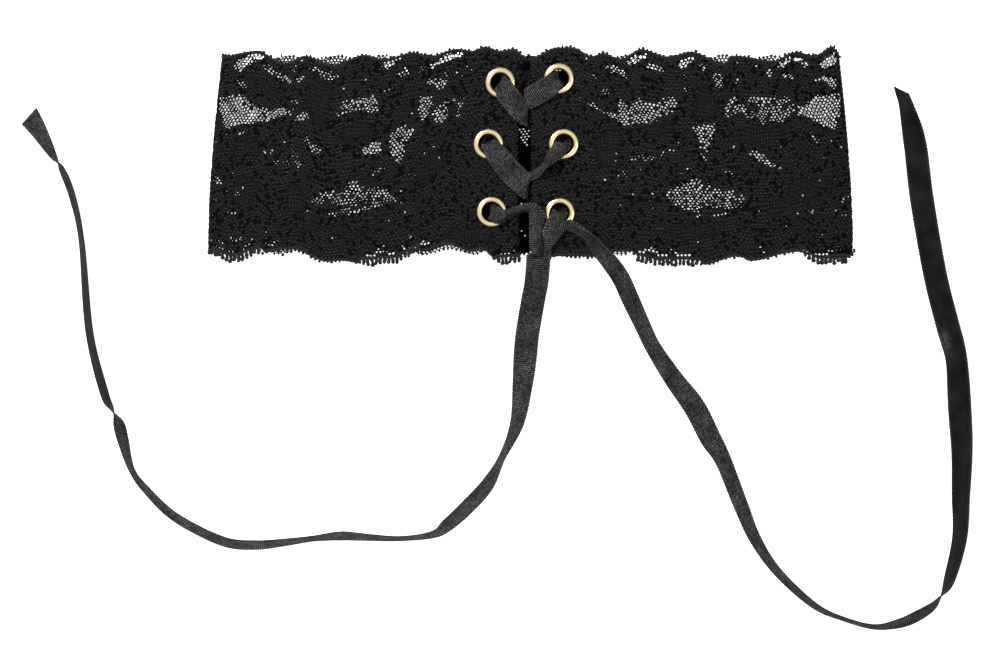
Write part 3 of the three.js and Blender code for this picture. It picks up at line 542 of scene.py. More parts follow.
BACK_BOTTOM = (-24.1, 0.8, -20.4)
FOLD_BLEND = 7  # over which the back's scallops fade into the fold's edge
FOLD_REACH = 3  # of the fold itself, sideways

# The net's cells, at the real net's size.
HOLE_PITCH = 0.96
BACK_PITCH = 0.94 * HOLE_PITCH
ROW_PITCH = 0.72
NET_ROWS = 72
ZIGZAG = 0.13  # a cell's corners, up or down from its row
NET_UNEVEN = 0.05  # how far a corner strays at random
NET_SWAY = 0.3  # how far whole stretches of the net are pulled
PULLS = 3  # waves of that pull each way, the steepest at 1 radian a millimetre
CALM_CELLS = (8, 6)  # from the cut ends, and from the edges, over which the net comes straight
EYELET_HOLE = 3.05

# Windows of open net between the flowers: how open each is, and its outline.
WINDOWS = [
    (1.06, [(-78.1, 14.6), (-74.5, 15.5), (-71.7, 15), (-68.7, 12.3), (-64.3, 11.3), (-61.1, 12.5),
         (-60.8, 10.5), (-66, 8.5), (-68.9, 8.1), (-76.4, 6.6), (-78.1, 11)]),
    (1.25, [(-74.1, 22.3), (-73.1, 24), (-70.1, 25.2), (-68.3, 25.4), (-65.8, 24.9), (-66.8, 24),
         (-69.3, 23.5), (-71.4, 21.9), (-72.6, 21)]),
    (0.8, [(-67.4, 22.3), (-66, 22.8), (-63.1, 21), (-61, 20), (-59.3, 19.2), (-56.4, 20.4), (-56.2, 19.2),
         (-58.1, 18), (-60.1, 18), (-62.6, 19), (-66, 20.8)]),
    (0.6, [(-60.6, 20.6), (-57.6, 24), (-56.5, 24.4), (-57.6, 22.1), (-59.3, 20.4)]),
    (0.7, [(-55.8, 22.1), (-53.9, 22.5), (-51.8, 21.3), (-47.4, 20.4), (-47.6, 19.4), (-50.6, 18.5),
         (-52, 19.2), (-53.5, 21)]),
    (0.7, [(-74.5, 19.3), (-72.8, 19), (-70.1, 17.3), (-70.6, 16.7), (-72.6, 17.1), (-74.1, 17.9)]),
    (0.8, [(-61, 13.5), (-58.1, 14.2), (-58.1, 12.9), (-59.3, 12.3), (-59.3, 10), (-60.1, 10.2),
         (-60.6, 12.5)]),
    (0.9, [(-58.7, 9.4), (-57.6, 11), (-55.3, 10.4), (-55.6, 9.2), (-57.6, 8.3), (-58.7, 8.5)]),
    (0.9, [(-74.7, 5.6), (-70.6, 6.9), (-70.3, 6.3), (-73.3, 5.1), (-74.3, 5.1)]),
    (0.6, [(-61.6, 3.3), (-60.8, 3.5), (-59.3, 1.9), (-57.6, -0.2), (-56.7, -2.1), (-57, -3.7),
         (-58.1, -3.5), (-59.3, -0.2), (-60.1, 1.9)]),
    (0.7, [(-57.1, 6.3), (-56, 5.8), (-54.3, 3.1), (-52.2, 1.5), (-52.6, 0.2), (-54.7, 0.2), (-55.6, 2.3),
         (-56.6, 4.4)]),
    (0.9, [(-67, 1), (-64.3, 1.7), (-64.1, 1), (-66, 0.1)]),
    (0.5, [(-65.6, -1.7), (-63.5, -0.8), (-59.9, -1.5), (-60.1, -2.5), (-61.8, -2.2), (-64.3, -2.1)]),
    (0.95, [(-79.7, -5.4), (-78.5, -4.9), (-76.8, -6.5), (-77.2, -7.2), (-78.5, -6.9)]),
    (0.65, [(-76.4, -9), (-72.8, -8.7), (-72.6, -10.4), (-74.3, -10), (-76, -9.6)]),
    (0.65, [(-79.1, -10.2), (-78.3, -10.2), (-76.8, -12.1), (-77, -12.9), (-78.5, -12.1)]),
    (0.65, [(-76.4, -13.3), (-73.7, -14.2), (-73.9, -14.8), (-75.6, -14.2)]),
    (0.72, [(-54.7, -11), (-52.6, -9.2), (-49.3, -8.7), (-46, -7.2), (-43.7, -6), (-42.1, -7.7),
         (-36.6, -7.9), (-34.6, -9.8), (-32.1, -11.7), (-35.6, -11.4), (-37.6, -12.8), (-41.1, -14),
         (-45.4, -14.9), (-49.4, -15.2), (-51.4, -14.3), (-47.6, -13.3), (-46.9, -12.5), (-50.9, -11.8),
         (-54.4, -13)]),
    (0.85, [(-48.4, 10.7), (-47.4, 13), (-45.1, 14.3), (-42.1, 14.3), (-39.1, 15.2), (-38.1, 14.2),
         (-38.1, 12.2), (-37.6, 11.2), (-40.4, 10.5), (-41.9, 11.6), (-44.6, 11), (-47.1, 10),
         (-48.4, 9.5)]),
    (1.15, [(-37.3, 22.7), (-35.6, 23.8), (-33.1, 25), (-30.6, 25.2), (-31, 24.6), (-33.5, 23.5),
         (-33.9, 22.1), (-36.4, 21.5)]),
    (1.25, [(-25.2, 22.5), (-23.9, 23.3), (-21.8, 24.8), (-19.3, 25.6), (-16.6, 25.8), (-16.7, 24.8),
         (-18.5, 24.6), (-20.6, 23.5), (-22.6, 22.7), (-23.9, 21.7), (-24.9, 21.8)]),
    (0.6, [(-33.1, 20.4), (-31.8, 22.1), (-30.3, 21.7), (-30.6, 20), (-32.6, 19.6)]),
    (0.5, [(-29.1, 22.3), (-27.6, 22.7), (-26.8, 21), (-27.2, 20.2), (-28.9, 21.5)]),
    (0.3, [(-21.6, 21.3), (-16.8, 21), (-17, 19.2), (-21, 19.6)]),
    (0.55, [(-16.8, 22.7), (-15.3, 22.8), (-14.3, 20.8), (-15.1, 20.4), (-16.4, 21.9)]),
    (0.8, [(-26.2, 18.3), (-24.3, 19.6), (-21, 19), (-21.1, 17.1), (-23.1, 16.5), (-23.9, 17.7),
         (-25.8, 17.5)]),
    (0.5, [(-36.6, 16), (-33.9, 18.3), (-33.7, 17.7), (-35.8, 15.6)]),
    (0.8, [(-28.1, 14.6), (-26.4, 15), (-24.3, 14.6), (-23.7, 13.8), (-24.9, 11.9), (-25.8, 9.4),
         (-26.8, 8.5), (-27.8, 10.2), (-28.1, 12.3)]),
    (0.8, [(-23.1, 12.3), (-21.8, 13.1), (-20.6, 11.5), (-20.6, 9.8), (-21.8, 8.1), (-23.1, 8.1),
         (-24.3, 9), (-24.9, 10.2)]),
    (0.65, [(-22.6, 12.9), (-18.9, 14.8), (-16.4, 14.2), (-16.6, 12.3), (-17, 12.1), (-17.6, 9.4),
         (-18.9, 9.4), (-18.3, 11.9), (-18.9, 13.5), (-21.8, 12.5)]),
    (0.7, [(-30.4, 11), (-29.3, 11.3), (-28.8, 10), (-29.3, 9.4), (-30.3, 10.4)]),
    (0.8, [(-35.8, 4), (-34.3, 6.3), (-31.8, 7.5), (-29.3, 7.5), (-28.8, 6), (-30.6, 4.4), (-31.4, 1.9),
         (-32.2, -2.1), (-33.7, -1.9), (-34.7, -0.2), (-35.3, 2.3)]),
    (1, [(-42, 1.5), (-40.1, 2.9), (-37.6, 3.8), (-37.2, 1.9), (-37.2, 0.6), (-39.3, 0.6), (-41.4, 0.1)]),
    (0.6, [(-39.9, -4.8), (-38.1, -3.1), (-35.8, -2.8), (-36, -3.5), (-37.8, -4), (-39.5, -5.2)]),
    (0.7, [(-31.1, -4.2), (-28.7, -4.4), (-28.6, -5.1), (-30.1, -4.9)]),
    (0.7, [(-32, -14), (-31, -13.5), (-29.1, -13.5), (-29.2, -14.3), (-31, -14.5), (-31.9, -14.4)]),
    (1.3, [(24, 23.3), (25.7, 24.8), (29, 25.3), (29.4, 24.8), (27.8, 24.2), (25.7, 22.7), (24.4, 22.8)]),
    (0.8, [(18.6, 22.7), (20.3, 22.9), (21.9, 21.9), (24.9, 20.6), (24.9, 19.8), (23, 19.2), (21.9, 20.6),
         (19.9, 20.8), (18.6, 21.7)]),
    (0.6, [(14.9, 20.6), (16.3, 21), (16.4, 19.2), (15.5, 19)]),
    (0.45, [(13.2, 25), (15.1, 25), (14.9, 23.8), (13.4, 24)]),
    (0.8, [(28.6, 22.7), (29.9, 22.9), (33.2, 22.1), (33, 20.8), (31.1, 21.3), (29, 21.8)]),
    (1, [(36.7, 22.7), (37.8, 24.2), (40.9, 24.6), (40.9, 23.8), (39, 22.7), (38.8, 21.3), (37.2, 21.9)]),
    (0.45, [(37.6, 20), (39.4, 19.8), (39.4, 15.8), (37.8, 16)]),
    (0.5, [(26.5, 16), (28.6, 16.3), (30.7, 15.7), (30.5, 15.3), (28.2, 15.5)]),
    (0.6, [(17.8, 16.5), (19, 16.7), (20.3, 15.4), (18.8, 15), (18, 15.6)]),
    (0.8, [(21.3, 12.9), (21.7, 14), (23, 14), (24.9, 12.5), (26.5, 14.4), (29, 13.5), (31.9, 13.5),
         (33.2, 14.4), (35.3, 14.6), (36.7, 12.9), (35.7, 11), (33.2, 10), (31.5, 8.8), (28.6, 7.6),
         (25.7, 7.5), (23.2, 7.1), (21.9, 8.5), (18.6, 10.4), (19.4, 11), (21.9, 10.6)]),
    (0.7, [(14, 13.1), (15.7, 13.5), (18.2, 11.3), (21.5, 9.4), (20.7, 8.8), (18.2, 10.4), (15.7, 11.9),
         (14.2, 12.5)]),
    (0.6, [(15.7, 7.5), (16.9, 8.5), (17, 7.9), (16.1, 7.1)]),
    (0.65, [(23.8, -1.7), (25.3, -0.8), (26.5, 0.3), (30.7, 0.2), (31.5, 1), (34.4, 1.7), (36.7, 1),
         (36.5, 0.2), (34.4, 1), (30.7, -1), (29, -1.7), (28.2, -1), (25.7, -1.4)]),
    (0.7, [(36.3, 3.5), (38.2, 3.3), (38.2, 2.7), (36.9, 2.9)]),
    (0.6, [(36.5, -4.8), (37.4, -4), (40.5, -2.4), (40.5, -2.9), (38.4, -4.2), (37.2, -4.9)]),
    (0.76, [(33.4, -10), (35.6, -8), (39.4, -6.4), (41.1, -5.3), (42.4, -4.8), (44.4, -6.8), (46.1, -8.3),
         (50.4, -8.7), (52.9, -9.5), (53.9, -11.3), (52.4, -12.9), (49.9, -13.4), (44.1, -12.8),
         (41.6, -14.2), (39.1, -13.7), (35.6, -12.2)]),
    (0.8, [(40.7, -15.4), (42.4, -14.8), (45.3, -14.8), (48.8, -14.2), (49, -14.8), (46.5, -15.5),
         (42.4, -15.5)]),
    (0.5, [(30.2, -12.7), (31.7, -13), (31.5, -13.5), (30.5, -13.3)]),
    (0.5, [(21.3, -5), (23.2, -3.7), (25.1, -4), (25.1, -6), (24, -6.2), (23, -4.4), (21.9, -5.4)]),
    (0.65, [(41.7, 22.7), (43, 23), (44.2, 21.5), (44.4, 20.6), (43.6, 21), (42.2, 21.8)]),
    (0.85, [(45.1, 20.4), (47.6, 20.6), (47.9, 19), (47.6, 17.1), (46.3, 16.7), (45.9, 18.5), (45.2, 19.6)]),
    (0.45, [(49.9, 23.1), (51.3, 24.4), (51.9, 23.5), (51.5, 22.3), (50.1, 22.3)]),
    (0.6, [(51.1, 19.4), (52.6, 19.7), (52.6, 17.5), (51.3, 17.6)]),
    (0.5, [(49.7, 16.5), (51.1, 16.9), (51.3, 15.8), (49.9, 15.6)]),
    (0.85, [(48.5, 13.1), (49.2, 14.4), (51.3, 14.6), (51.3, 13.3), (50.1, 12.3), (49.7, 9.4), (48.7, 9.4)]),
    (0.78, [(50.3, 11.9), (51.5, 12.9), (53.6, 13.3), (55.3, 14.6), (58.2, 14.6), (61.5, 15.1), (64.9, 14.6),
         (64.9, 13.1), (66.5, 12.5), (66.9, 11), (64.9, 10.6), (63.2, 8.1), (61.5, 8.3), (59, 8.1),
         (57.8, 7.5), (56.5, 9), (54, 9.3), (51.9, 9.8), (50.3, 9.4), (50.1, 10.6)]),
    (1.06, [(66.5, 12.3), (69, 12.7), (69.9, 14), (70.9, 15.2), (73.2, 14.8), (75.3, 15.4), (77.6, 15.7),
         (78, 14.4), (77.9, 11.5), (77.2, 9), (76.7, 6.7), (75.3, 6.5), (73.2, 7.5), (71.1, 8.5),
         (69.4, 9.6), (66.9, 10.2)]),
    (0.8, [(58, 21.5), (60.1, 21.8), (60.1, 19.6), (58.8, 19.2), (58.5, 20.4)]),
    (0.85, [(62.8, 20.2), (64, 20.4), (66.5, 19.2), (66.5, 18.6), (64.9, 18.8), (63.2, 19.5)]),
    (1.4, [(61.5, 22.3), (62.4, 23.5), (64, 24.7), (66.5, 24.8), (68.6, 23.8), (69.4, 22.3), (68.8, 21.8),
         (67.8, 23.1), (65.7, 23.8), (64, 23.1), (63.2, 22.1)]),
    (0.6, [(55.1, 22.9), (56.7, 22.5), (56.5, 22.1), (55.3, 22.5)]),
    (1.5, [(72.4, 22.1), (72.8, 24), (74.4, 25.2), (76.7, 26), (76.7, 24.4), (75.9, 22.9), (74.4, 22.1),
         (73.2, 21.8)]),
    (1.2, [(70.9, 18.8), (72.8, 19.9), (75.3, 19.8), (76.5, 19), (76.5, 17.7), (75.7, 16.5), (74, 17.7),
         (72.4, 18.8)]),
    (0.8, [(39.9, 7.1), (42.4, 7.8), (46.3, 8), (46.3, 6.9), (45.1, 4), (44.4, 1.5), (43.8, -1.9),
         (42.8, -0.8), (42.4, 2.3), (41.5, 5.6)]),
    (0.95, [(48.7, 1.7), (49.9, 2.7), (51.7, 2.8), (51.5, 2.1), (50.3, 1.4)]),
    (0.95, [(54, 0.8), (57.8, 1.1), (58.6, -0.6), (60.7, -2.1), (64, -3.6), (63.2, -4), (59.4, -2.7),
         (56.5, -1.2)]),
    (0.75, [(45.9, -2.2), (47.4, -2.7), (51.1, -4.8), (50.9, -5.5), (48.8, -4.4), (46.5, -2.9)]),
    (0.8, [(69, 5.8), (69.9, 5.8), (71.9, 4), (71.5, 3.3), (70.1, 4.8)]),
    (0.6, [(73.8, 4), (75.7, 4.2), (75.6, 3.3), (74.7, 3.2)]),
    (0.95, [(76.7, 2.5), (78, 3), (78.1, 1.8), (77.2, 1.9)]),
    (0.6, [(64.9, -2.6), (66.3, -1.7), (66.4, -2.1), (65.3, -2.9)]),
    (0.95, [(69.2, -14.4), (69.7, -13.3), (71.9, -12.8), (72, -13.3), (70.7, -13.7), (70.1, -14.6)]),
    (0.75, [(74.8, -12.9), (76.5, -13.6), (76.3, -14), (75.1, -13.5)]),
    (0.95, [(76.7, -15), (78.9, -14.6), (79, -15.6), (77.4, -15.5)]),
    (0.95, [(76.9, -11.5), (78.4, -10.2), (79.9, -9.9), (79.9, -10.8), (78, -11.7)]),
    (0.8, [(76.2, -9.2), (77.9, -8.3), (78, -8.7), (76.5, -9.6)]),
]
# Small solid leaves that stand in the windows.
ISLANDS = [
    (1, [(53.6, 12.5), (55.7, 13.1), (57.4, 11.5), (56.5, 10.8), (54.4, 11.5)]),
    (1, [(62.6, 12.5), (63.8, 12.7), (64, 11.5), (62.8, 11)]),
    (1, [(-43.4, -11.8), (-39.6, -11.8), (-39.9, -12.4), (-43.1, -12.5)]),
]
# Rows of small eyes that follow the edges of the flowers along the bottom, and single eyes.
EYED_LINES = [
    [(-79.5, -21), (-78.5, -21), (-76.9, -22.1)],
    [(-74.9, -21), (-72.6, -21)],
    [(-78.7, -22.7), (-76.4, -23.6), (-74.7, -24.2), (-72.2, -24.2), (-71, -22.5), (-69.7, -21.2)],
    [(-66, -22), (-64.7, -22.2), (-63.1, -21.4)],
    [(-41.4, -25.4), (-39.3, -25.2), (-38, -23.5), (-36.4, -24), (-34.1, -24.8)],
    [(-36.8, -22.7), (-35.3, -22.5)],
    [(-32, -22.9), (-29.1, -23.1)],
    [(-27, -21.7), (-25.1, -21.9)],
    [(-8.9, -23.7), (-6.4, -24.7), (-4.3, -23.7), (-2.6, -22), (-1.2, -22.5)],
    [(26.3, -24.3), (27.8, -24.2), (29.7, -23.2), (30.9, -23.6), (32.2, -24.9), (33.4, -25), (34.7, -24),
     (35.7, -24), (36.7, -25.3), (39.2, -24.9)],
    [(68.6, -23.7), (70.3, -24), (71.9, -24.6), (73.6, -24.5), (75.7, -23.6)],
    [(76.9, -22.5), (78, -23.6), (79.2, -24)],
]
SINGLE_EYES = [
    (73.2, -0.2), (72.4, -6), (67.8, -9.7), (55.9, -10.6), (56.7, -14.1), (64.2, -17.7), (73.2, -19.6),
    (76.5, -19), (57.4, -22.5), (42.2, -21.9), (57.8, -24.2), (62.9, 2.5), (66.7, -14.3), (65.1, 4.4),
    (76.3, -5.5), (-76.2, -2.1), (-74.5, -4.8), (-72, -7.7), (-79.3, -14.5), (-76.4, -16), (-65.8, -19),
    (-56, -13.6), (-49.5, -20.4), (-49.5, -21), (-78.5, 3.2), (-60.8, -4), (-76.2, 5.2), (-67.6, 3.5),
    (-31.9, -8.9), (-35.4, -16), (-26.8, 1), (-30.3, -20.8), (-33.3, -22.7), (-20.3, -22.2), (-46.8, 16.5),
    (-40.8, 18.7), (-23.9, 2.5), (-22.6, -0.6), (21.9, 0.4), (21.2, -0.9), (27.6, -3.3), (25.9, -9.7),
    (30.7, -9.6), (18.2, -6.3), (12.4, 14.4), (10.3, 14.2), (30.5, -13.3), (22.4, -12.7),
]
# The flowers' smooth petals, knitted close with fine ribs: x, y, length, width, turn.
PETALS = [
    (-52.9, 14, 15.5, 8.5, 88), (-43.4, 6.5, 10.5, 6.5, 0), (-71.1, 2.5, 10, 6.5, 15),
    (19.4, 1.5, 13.5, 8.5, 80), (56.6, 5, 16.5, 6, 0), (43.4, 12.5, 11, 7.5, 100), (-25.6, -3, 12, 7.5, 60),
    (-41.4, -6, 11.5, 3.5, 20), (31.1, 7, 12.5, 5, -15), (-71.4, -9, 11, 7.5, 80), (68.9, -8.5, 15, 7, 20),
    (-58.9, -11, 9, 6.5, 75), (-65.6, 16.5, 8.5, 5, -20), (39.9, -19, 15, 4.5, 0),
    (-50.1, -19, 22.5, 4, -5), (-15.1, -19.8, 15, 5, 0), (61.1, -12.3, 12.5, 5.5, 10),
]
# Net of the back layer that shows in the gap of the lacing, and the single eyes above and below it.
GAP_WINDOW = [(-2.6, 6.8), (-0.1, 6.8), (-0.4, 4.2), (-1.3, 2.2), (-2.4, 4.2)]
GAP_EYES = [(-2, -18.6), (-1.2, -19.6), (-1.9, -11.7)]
# Stretches of the lower edge that are finished with a fringe of bars, from x to x.
FRINGES = [(-79.4, -66.9), (-42.6, -27.4), (-8.6, -0.6), (26.4, 42.6), (67.4, 79.2)]
FRINGE_DEPTH = 1.3


def eased(rows, at):
    """A value from a short table, eased between its rows so that each crest and dip stays a crest or dip."""
    keys, values = np.array(rows, float).T
    at = np.clip(at, keys[0], keys[-1])
    row = np.clip(np.searchsorted(keys, at, side="right") - 1, 0, len(keys) - 2)
    part = (at - keys[row]) / (keys[row + 1] - keys[row])
    return values[row] + (values[row + 1] - values[row]) * (1 - np.cos(np.pi * part)) / 2


def cloth_line():
    """The cloth seen along Y, right half, from the raw end inside the placket, round the placket's fold, out
    over the front, round the side fold and along the surface to the middle: rows of x, z, outward normal and
    run, where run is 0 at the lacing and 1 past the front. Also the distances of its corners."""
    front_end = FRONT_SWELL[-1][0]
    inner = [(x, INNER_Z, 0, -1, x / front_end) for x in np.linspace(PLACKET_DEPTH, PLACKET_FOLD, 30)]
    turn = np.radians(np.linspace(270, 90, 14)[1:-1])
    middle = (PLACKET_FOLD, INNER_Z + PLACKET_FOLD)
    folded = [(middle[0] + PLACKET_FOLD * math.cos(a), middle[1] + PLACKET_FOLD * math.sin(a), math.cos(a),
               math.sin(a), PLACKET_FOLD / front_end) for a in turn]
    swell = curve_through(np.array(FRONT_SWELL, float), np.linspace(0, len(FRONT_SWELL) - 1, 400))
    slope = np.gradient(swell, axis=0)
    slope /= np.linalg.norm(slope, axis=1)[:, None]
    front = [(x - CLOTH_OFFSET * dz, z + CLOTH_OFFSET * dx, -dz, dx, x / front_end)
             for (x, z), (dx, dz) in zip(swell, slope) if x > PLACKET_FOLD]
    turn = np.radians(np.linspace(FOLD_START, -90, 30)[1:])
    fold_x, fold_z = FOLD_CENTRE
    fold = [(fold_x + FOLD_RADIUS * math.cos(a), fold_z + FOLD_RADIUS * math.sin(a), math.cos(a),
             math.sin(a), 1) for a in turn]
    back = [(x, BACK_Z, 0, -1, 1) for x in np.linspace(fold_x, -2, 120)[1:]]
    table = np.array(inner + folded + front + fold + back)
    run = np.concatenate([[0], np.cumsum(np.hypot(*np.diff(table[:, :2], axis=0).T))])
    corners = {
        "placket_fold": run[len(inner) + len(folded) // 2],
        "front_start": run[len(inner) + len(folded)],
        "side": run[len(inner) + len(folded) + len(front) + MEETING_ROW],
        "back_middle": np.interp(0, -table[-len(back):, 0], run[-len(back):]),
    }
    return table, run, corners


LINE, LINE_RUN, CORNERS = cloth_line()


def fringed(x):
    """1 where the lower edge carries the fringe, 0 where it is plain, smooth between."""
    return sum(smooth_between(low - 0.6, low + 0.8, x) * smooth_between(high + 0.6, high - 0.8, x)
               for low, high in FRINGES)


def on_cloth(side, distance, up, out=0, inset=EDGE_TRIM):
    """The place on the cloth at a distance from the raw end, `up` from 0 at its lower edge to 1 at its upper
    edge, and `out` from its middle surface. `inset` is kept from both edges. Side 1 is the right half."""
    x, z, nx, nz, run = (np.interp(distance, LINE_RUN, LINE[:, i]) for i in range(5))
    gap = RIGHT_GAP if side > 0 else LEFT_GAP

    def drawn(y):
        part = np.maximum(0, (y - WIDEST_Y) / (TOP_Y - WIDEST_Y))
        narrowed = 1 - TOP_NARROWING / BAND_HALF_WIDTH * part**NARROWING_POWER
        return side * x * narrowed + eased(gap, y) * (1 - run)

    past_front = (nz < 0.2) * (distance > CORNERS["front_start"])
    behind = smooth_between(FOLD_CENTRE[1] + 0.2, BACK_Z + 0.6, z) * past_front
    edges = []
    for front_edge, (level, swing, crest), at_y in (
            (FRONT_TOP_EDGE, BACK_TOP, TOP_Y), (FRONT_BOTTOM_EDGE, BACK_BOTTOM, -TOP_Y)):
        at_x = drawn(at_y)
        front_y = eased(front_edge, np.where(behind > 0, side * BAND_HALF_WIDTH, at_x))
        scallop = level + swing * np.cos(2 * np.pi * (at_x - crest) / SCALLOP_PITCH)
        near_fold = smooth_between(BAND_HALF_WIDTH - FOLD_REACH - FOLD_BLEND, BAND_HALF_WIDTH - FOLD_REACH, x)
        edges.append(np.where(behind > 0, scallop + (front_y - scallop) * near_fold, front_y))
    top, bottom = edges
    hidden = distance < CORNERS["placket_fold"]
    top = top - inset - RAW_END_INSET * hidden
    fringe = fringed(drawn(-TOP_Y)) * (behind == 0) * (inset > 0)
    bottom = bottom + inset + RAW_END_INSET * hidden + FRINGE_DEPTH * fringe
    y = bottom + up * (top - bottom)
    return np.stack([drawn(y) + side * nx * out, y, z + nz * out], axis=-1)


def off_line(x, y, points):
    """How far each place is from a line of points."""
    found = np.full(len(x), np.inf)
    for (ax, ay), (bx, by) in zip(points, points[1:]):
        part = np.clip(((x - ax) * (bx - ax) + (y - ay) * (by - ay)) / ((bx - ax)**2 + (by - ay)**2), 0, 1)
        found = np.minimum(found, np.hypot(x - ax - part * (bx - ax), y - ay - part * (by - ay)))
    return found


def covered(x, y, outlines, grow=0.0):
    """1 inside any of the outlines, 0 outside them, smooth between. Each outline carries how much it covers,
    and is first grown by `grow`."""
    found = np.zeros(len(x))
    for level, outline in outlines:
        closed = [*outline, outline[0]]
        inside = np.zeros(len(x), bool)
        for (ax, ay), (bx, by) in zip(closed, closed[1:]):
            if ay != by:
                inside ^= ((ay > y) != (by > y)) & (x < ax + (y - ay) * (bx - ax) / (by - ay))
        off = off_line(x, y, closed)
        found = np.maximum(found, level * smooth_between(-0.3, 0.4, np.where(inside, off, -off) + grow))
    return found


def petalled(x, y):
    """1 on a petal, 0 off it, smooth between, with an uneven outline."""
    found = np.zeros(len(x))
    warped_x, warped_y = x + 0.7 * np.sin(0.8 * y + 0.3 * x), y + 0.7 * np.sin(0.9 * x - 0.2 * y)
    for cx, cy, length, width, turn in PETALS:
        c, s = math.cos(math.radians(turn)), math.sin(math.radians(turn))
        p = ((warped_x - cx) * c + (warped_y - cy) * s) / (length / 2)
        q = ((warped_y - cy) * c - (warped_x - cx) * s) / (width / 2)
        found = np.maximum(found, smooth_between(0, 0.45, 1 - np.hypot(p, q)))
    return found


# How each cell of the net is knitted. A hole's size is a share of the cell's own width.
HOLE_SIZES = (0.34, 0.44, 0.52, 0.6, 0.68, 0.76, 0.84)
CLOSED, RAISED, SUNK = 0, -1, -2
CROWN = 0.15  # height of a filled cell's middle
SUNK_FROM = 0.8  # one filled cell in five is sunk
RAGGED = 0.12  # how far the windows' outlines stray
FRONT_HOLE = 0.24  # in a window that is hardly open, how much it grows in an open one, and its spread
FRONT_HOLE_GROWS = 0.44
FRONT_HOLE_SPREAD = 0.14
STRAY_FILLED = 0.45  # share of a window's cells that are filled, the fewer the more open it is
NONE_FILLED = 1.15  # how open a window is when none of its cells is filled
BACK_HOLE = 0.56  # the back layer's net lies open behind each window, and along both edges
BACK_HOLE_GROWS = 0.3
BACK_GROWN = 1.6  # past the window's outline
BACK_EDGE_HOLE = 0.6  # at least, this far in from the edges
BACK_OPEN_TOP = 2.6
BACK_OPEN_BOTTOM = 2
LINE_EYE = 0.6
LINE_REACH = 0.45
SINGLE_EYE = 0.5
SINGLE_REACH = 0.7
BEHIND_EYE = 0.68  # the back layer's holes behind the eyes, and how far round them
BEHIND_LINE_REACH = 1.3
BEHIND_EYE_REACH = 1
GAP_HOLE = 0.44
GAP_SIDES = (-3.4, 0.8)  # of the back layer that the gap of the lacing shows


def cell_kinds(side, layer, places, distance, up_mm):
    """For each cell, the size of its hole, or how it is filled."""
    x, y = places[:, 0], places[:, 1]
    chance = np.random.default_rng(11 + side + (5 if layer == "front" else 0)).random(len(x))
    ragged = RAGGED * np.sin(1.9 * x + 0.7 * y) * np.sin(1.3 * y - 0.4 * x)
    if layer == "front":
        shown = covered(x, y, WINDOWS) - 2 * covered(x, y, ISLANDS)
        size = FRONT_HOLE + FRONT_HOLE_GROWS * shown + FRONT_HOLE_SPREAD * (chance - 0.5)
        hole = np.where(shown + ragged > 0.2, size, 0)
        hole = np.where(chance < STRAY_FILLED * (NONE_FILLED - shown), 0, hole)
        hole = np.where(distance < CORNERS["front_start"], 0, hole)
        for line in EYED_LINES:
            hole = np.where((hole == 0) & (off_line(x, y, line) < LINE_REACH), LINE_EYE, hole)
        for eye_x, eye_y in SINGLE_EYES:
            off = np.hypot(x - eye_x, y - eye_y)
            if off.min() < SINGLE_REACH:
                hole[off.argmin()] = SINGLE_EYE
        ground = np.where(petalled(x, y) > 0.5, CLOSED, np.where(chance > SUNK_FROM, SUNK, RAISED))
        ground = np.where(distance < CORNERS["placket_fold"], CLOSED, ground)
    else:
        grown = covered(x, y, WINDOWS, grow=BACK_GROWN)
        hole = np.where(grown > 0.1, BACK_HOLE + BACK_HOLE_GROWS * grown, 0)
        near_edge = (up_mm > up_mm.max() - BACK_OPEN_TOP) | (up_mm < BACK_OPEN_BOTTOM)
        hole = np.where(near_edge, np.maximum(BACK_EDGE_HOLE, hole), hole)
        for line in EYED_LINES:
            hole = np.where((hole == 0) & (off_line(x, y, line) < BEHIND_LINE_REACH), BEHIND_EYE, hole)
        for eye_x, eye_y in SINGLE_EYES:
            near_eye = np.hypot(x - eye_x, y - eye_y) < BEHIND_EYE_REACH
            hole = np.where((hole == 0) & near_eye, BEHIND_EYE, hole)
        in_gap = (x > GAP_SIDES[0]) & (x < GAP_SIDES[1])
        hole = np.where(in_gap, np.where(covered(x, y, [(1, GAP_WINDOW)]) > 0.2, GAP_HOLE, 0), hole)
        for eye_x, eye_y in GAP_EYES:
            hole[np.hypot(x - eye_x, y - eye_y).argmin()] = GAP_HOLE
        ground = np.full(len(x), CLOSED)
    sizes = np.array(HOLE_SIZES)
    nearest = sizes[np.abs(hole[:, None] - sizes).argmin(axis=1)]
    return np.where(hole > 0, nearest, ground)


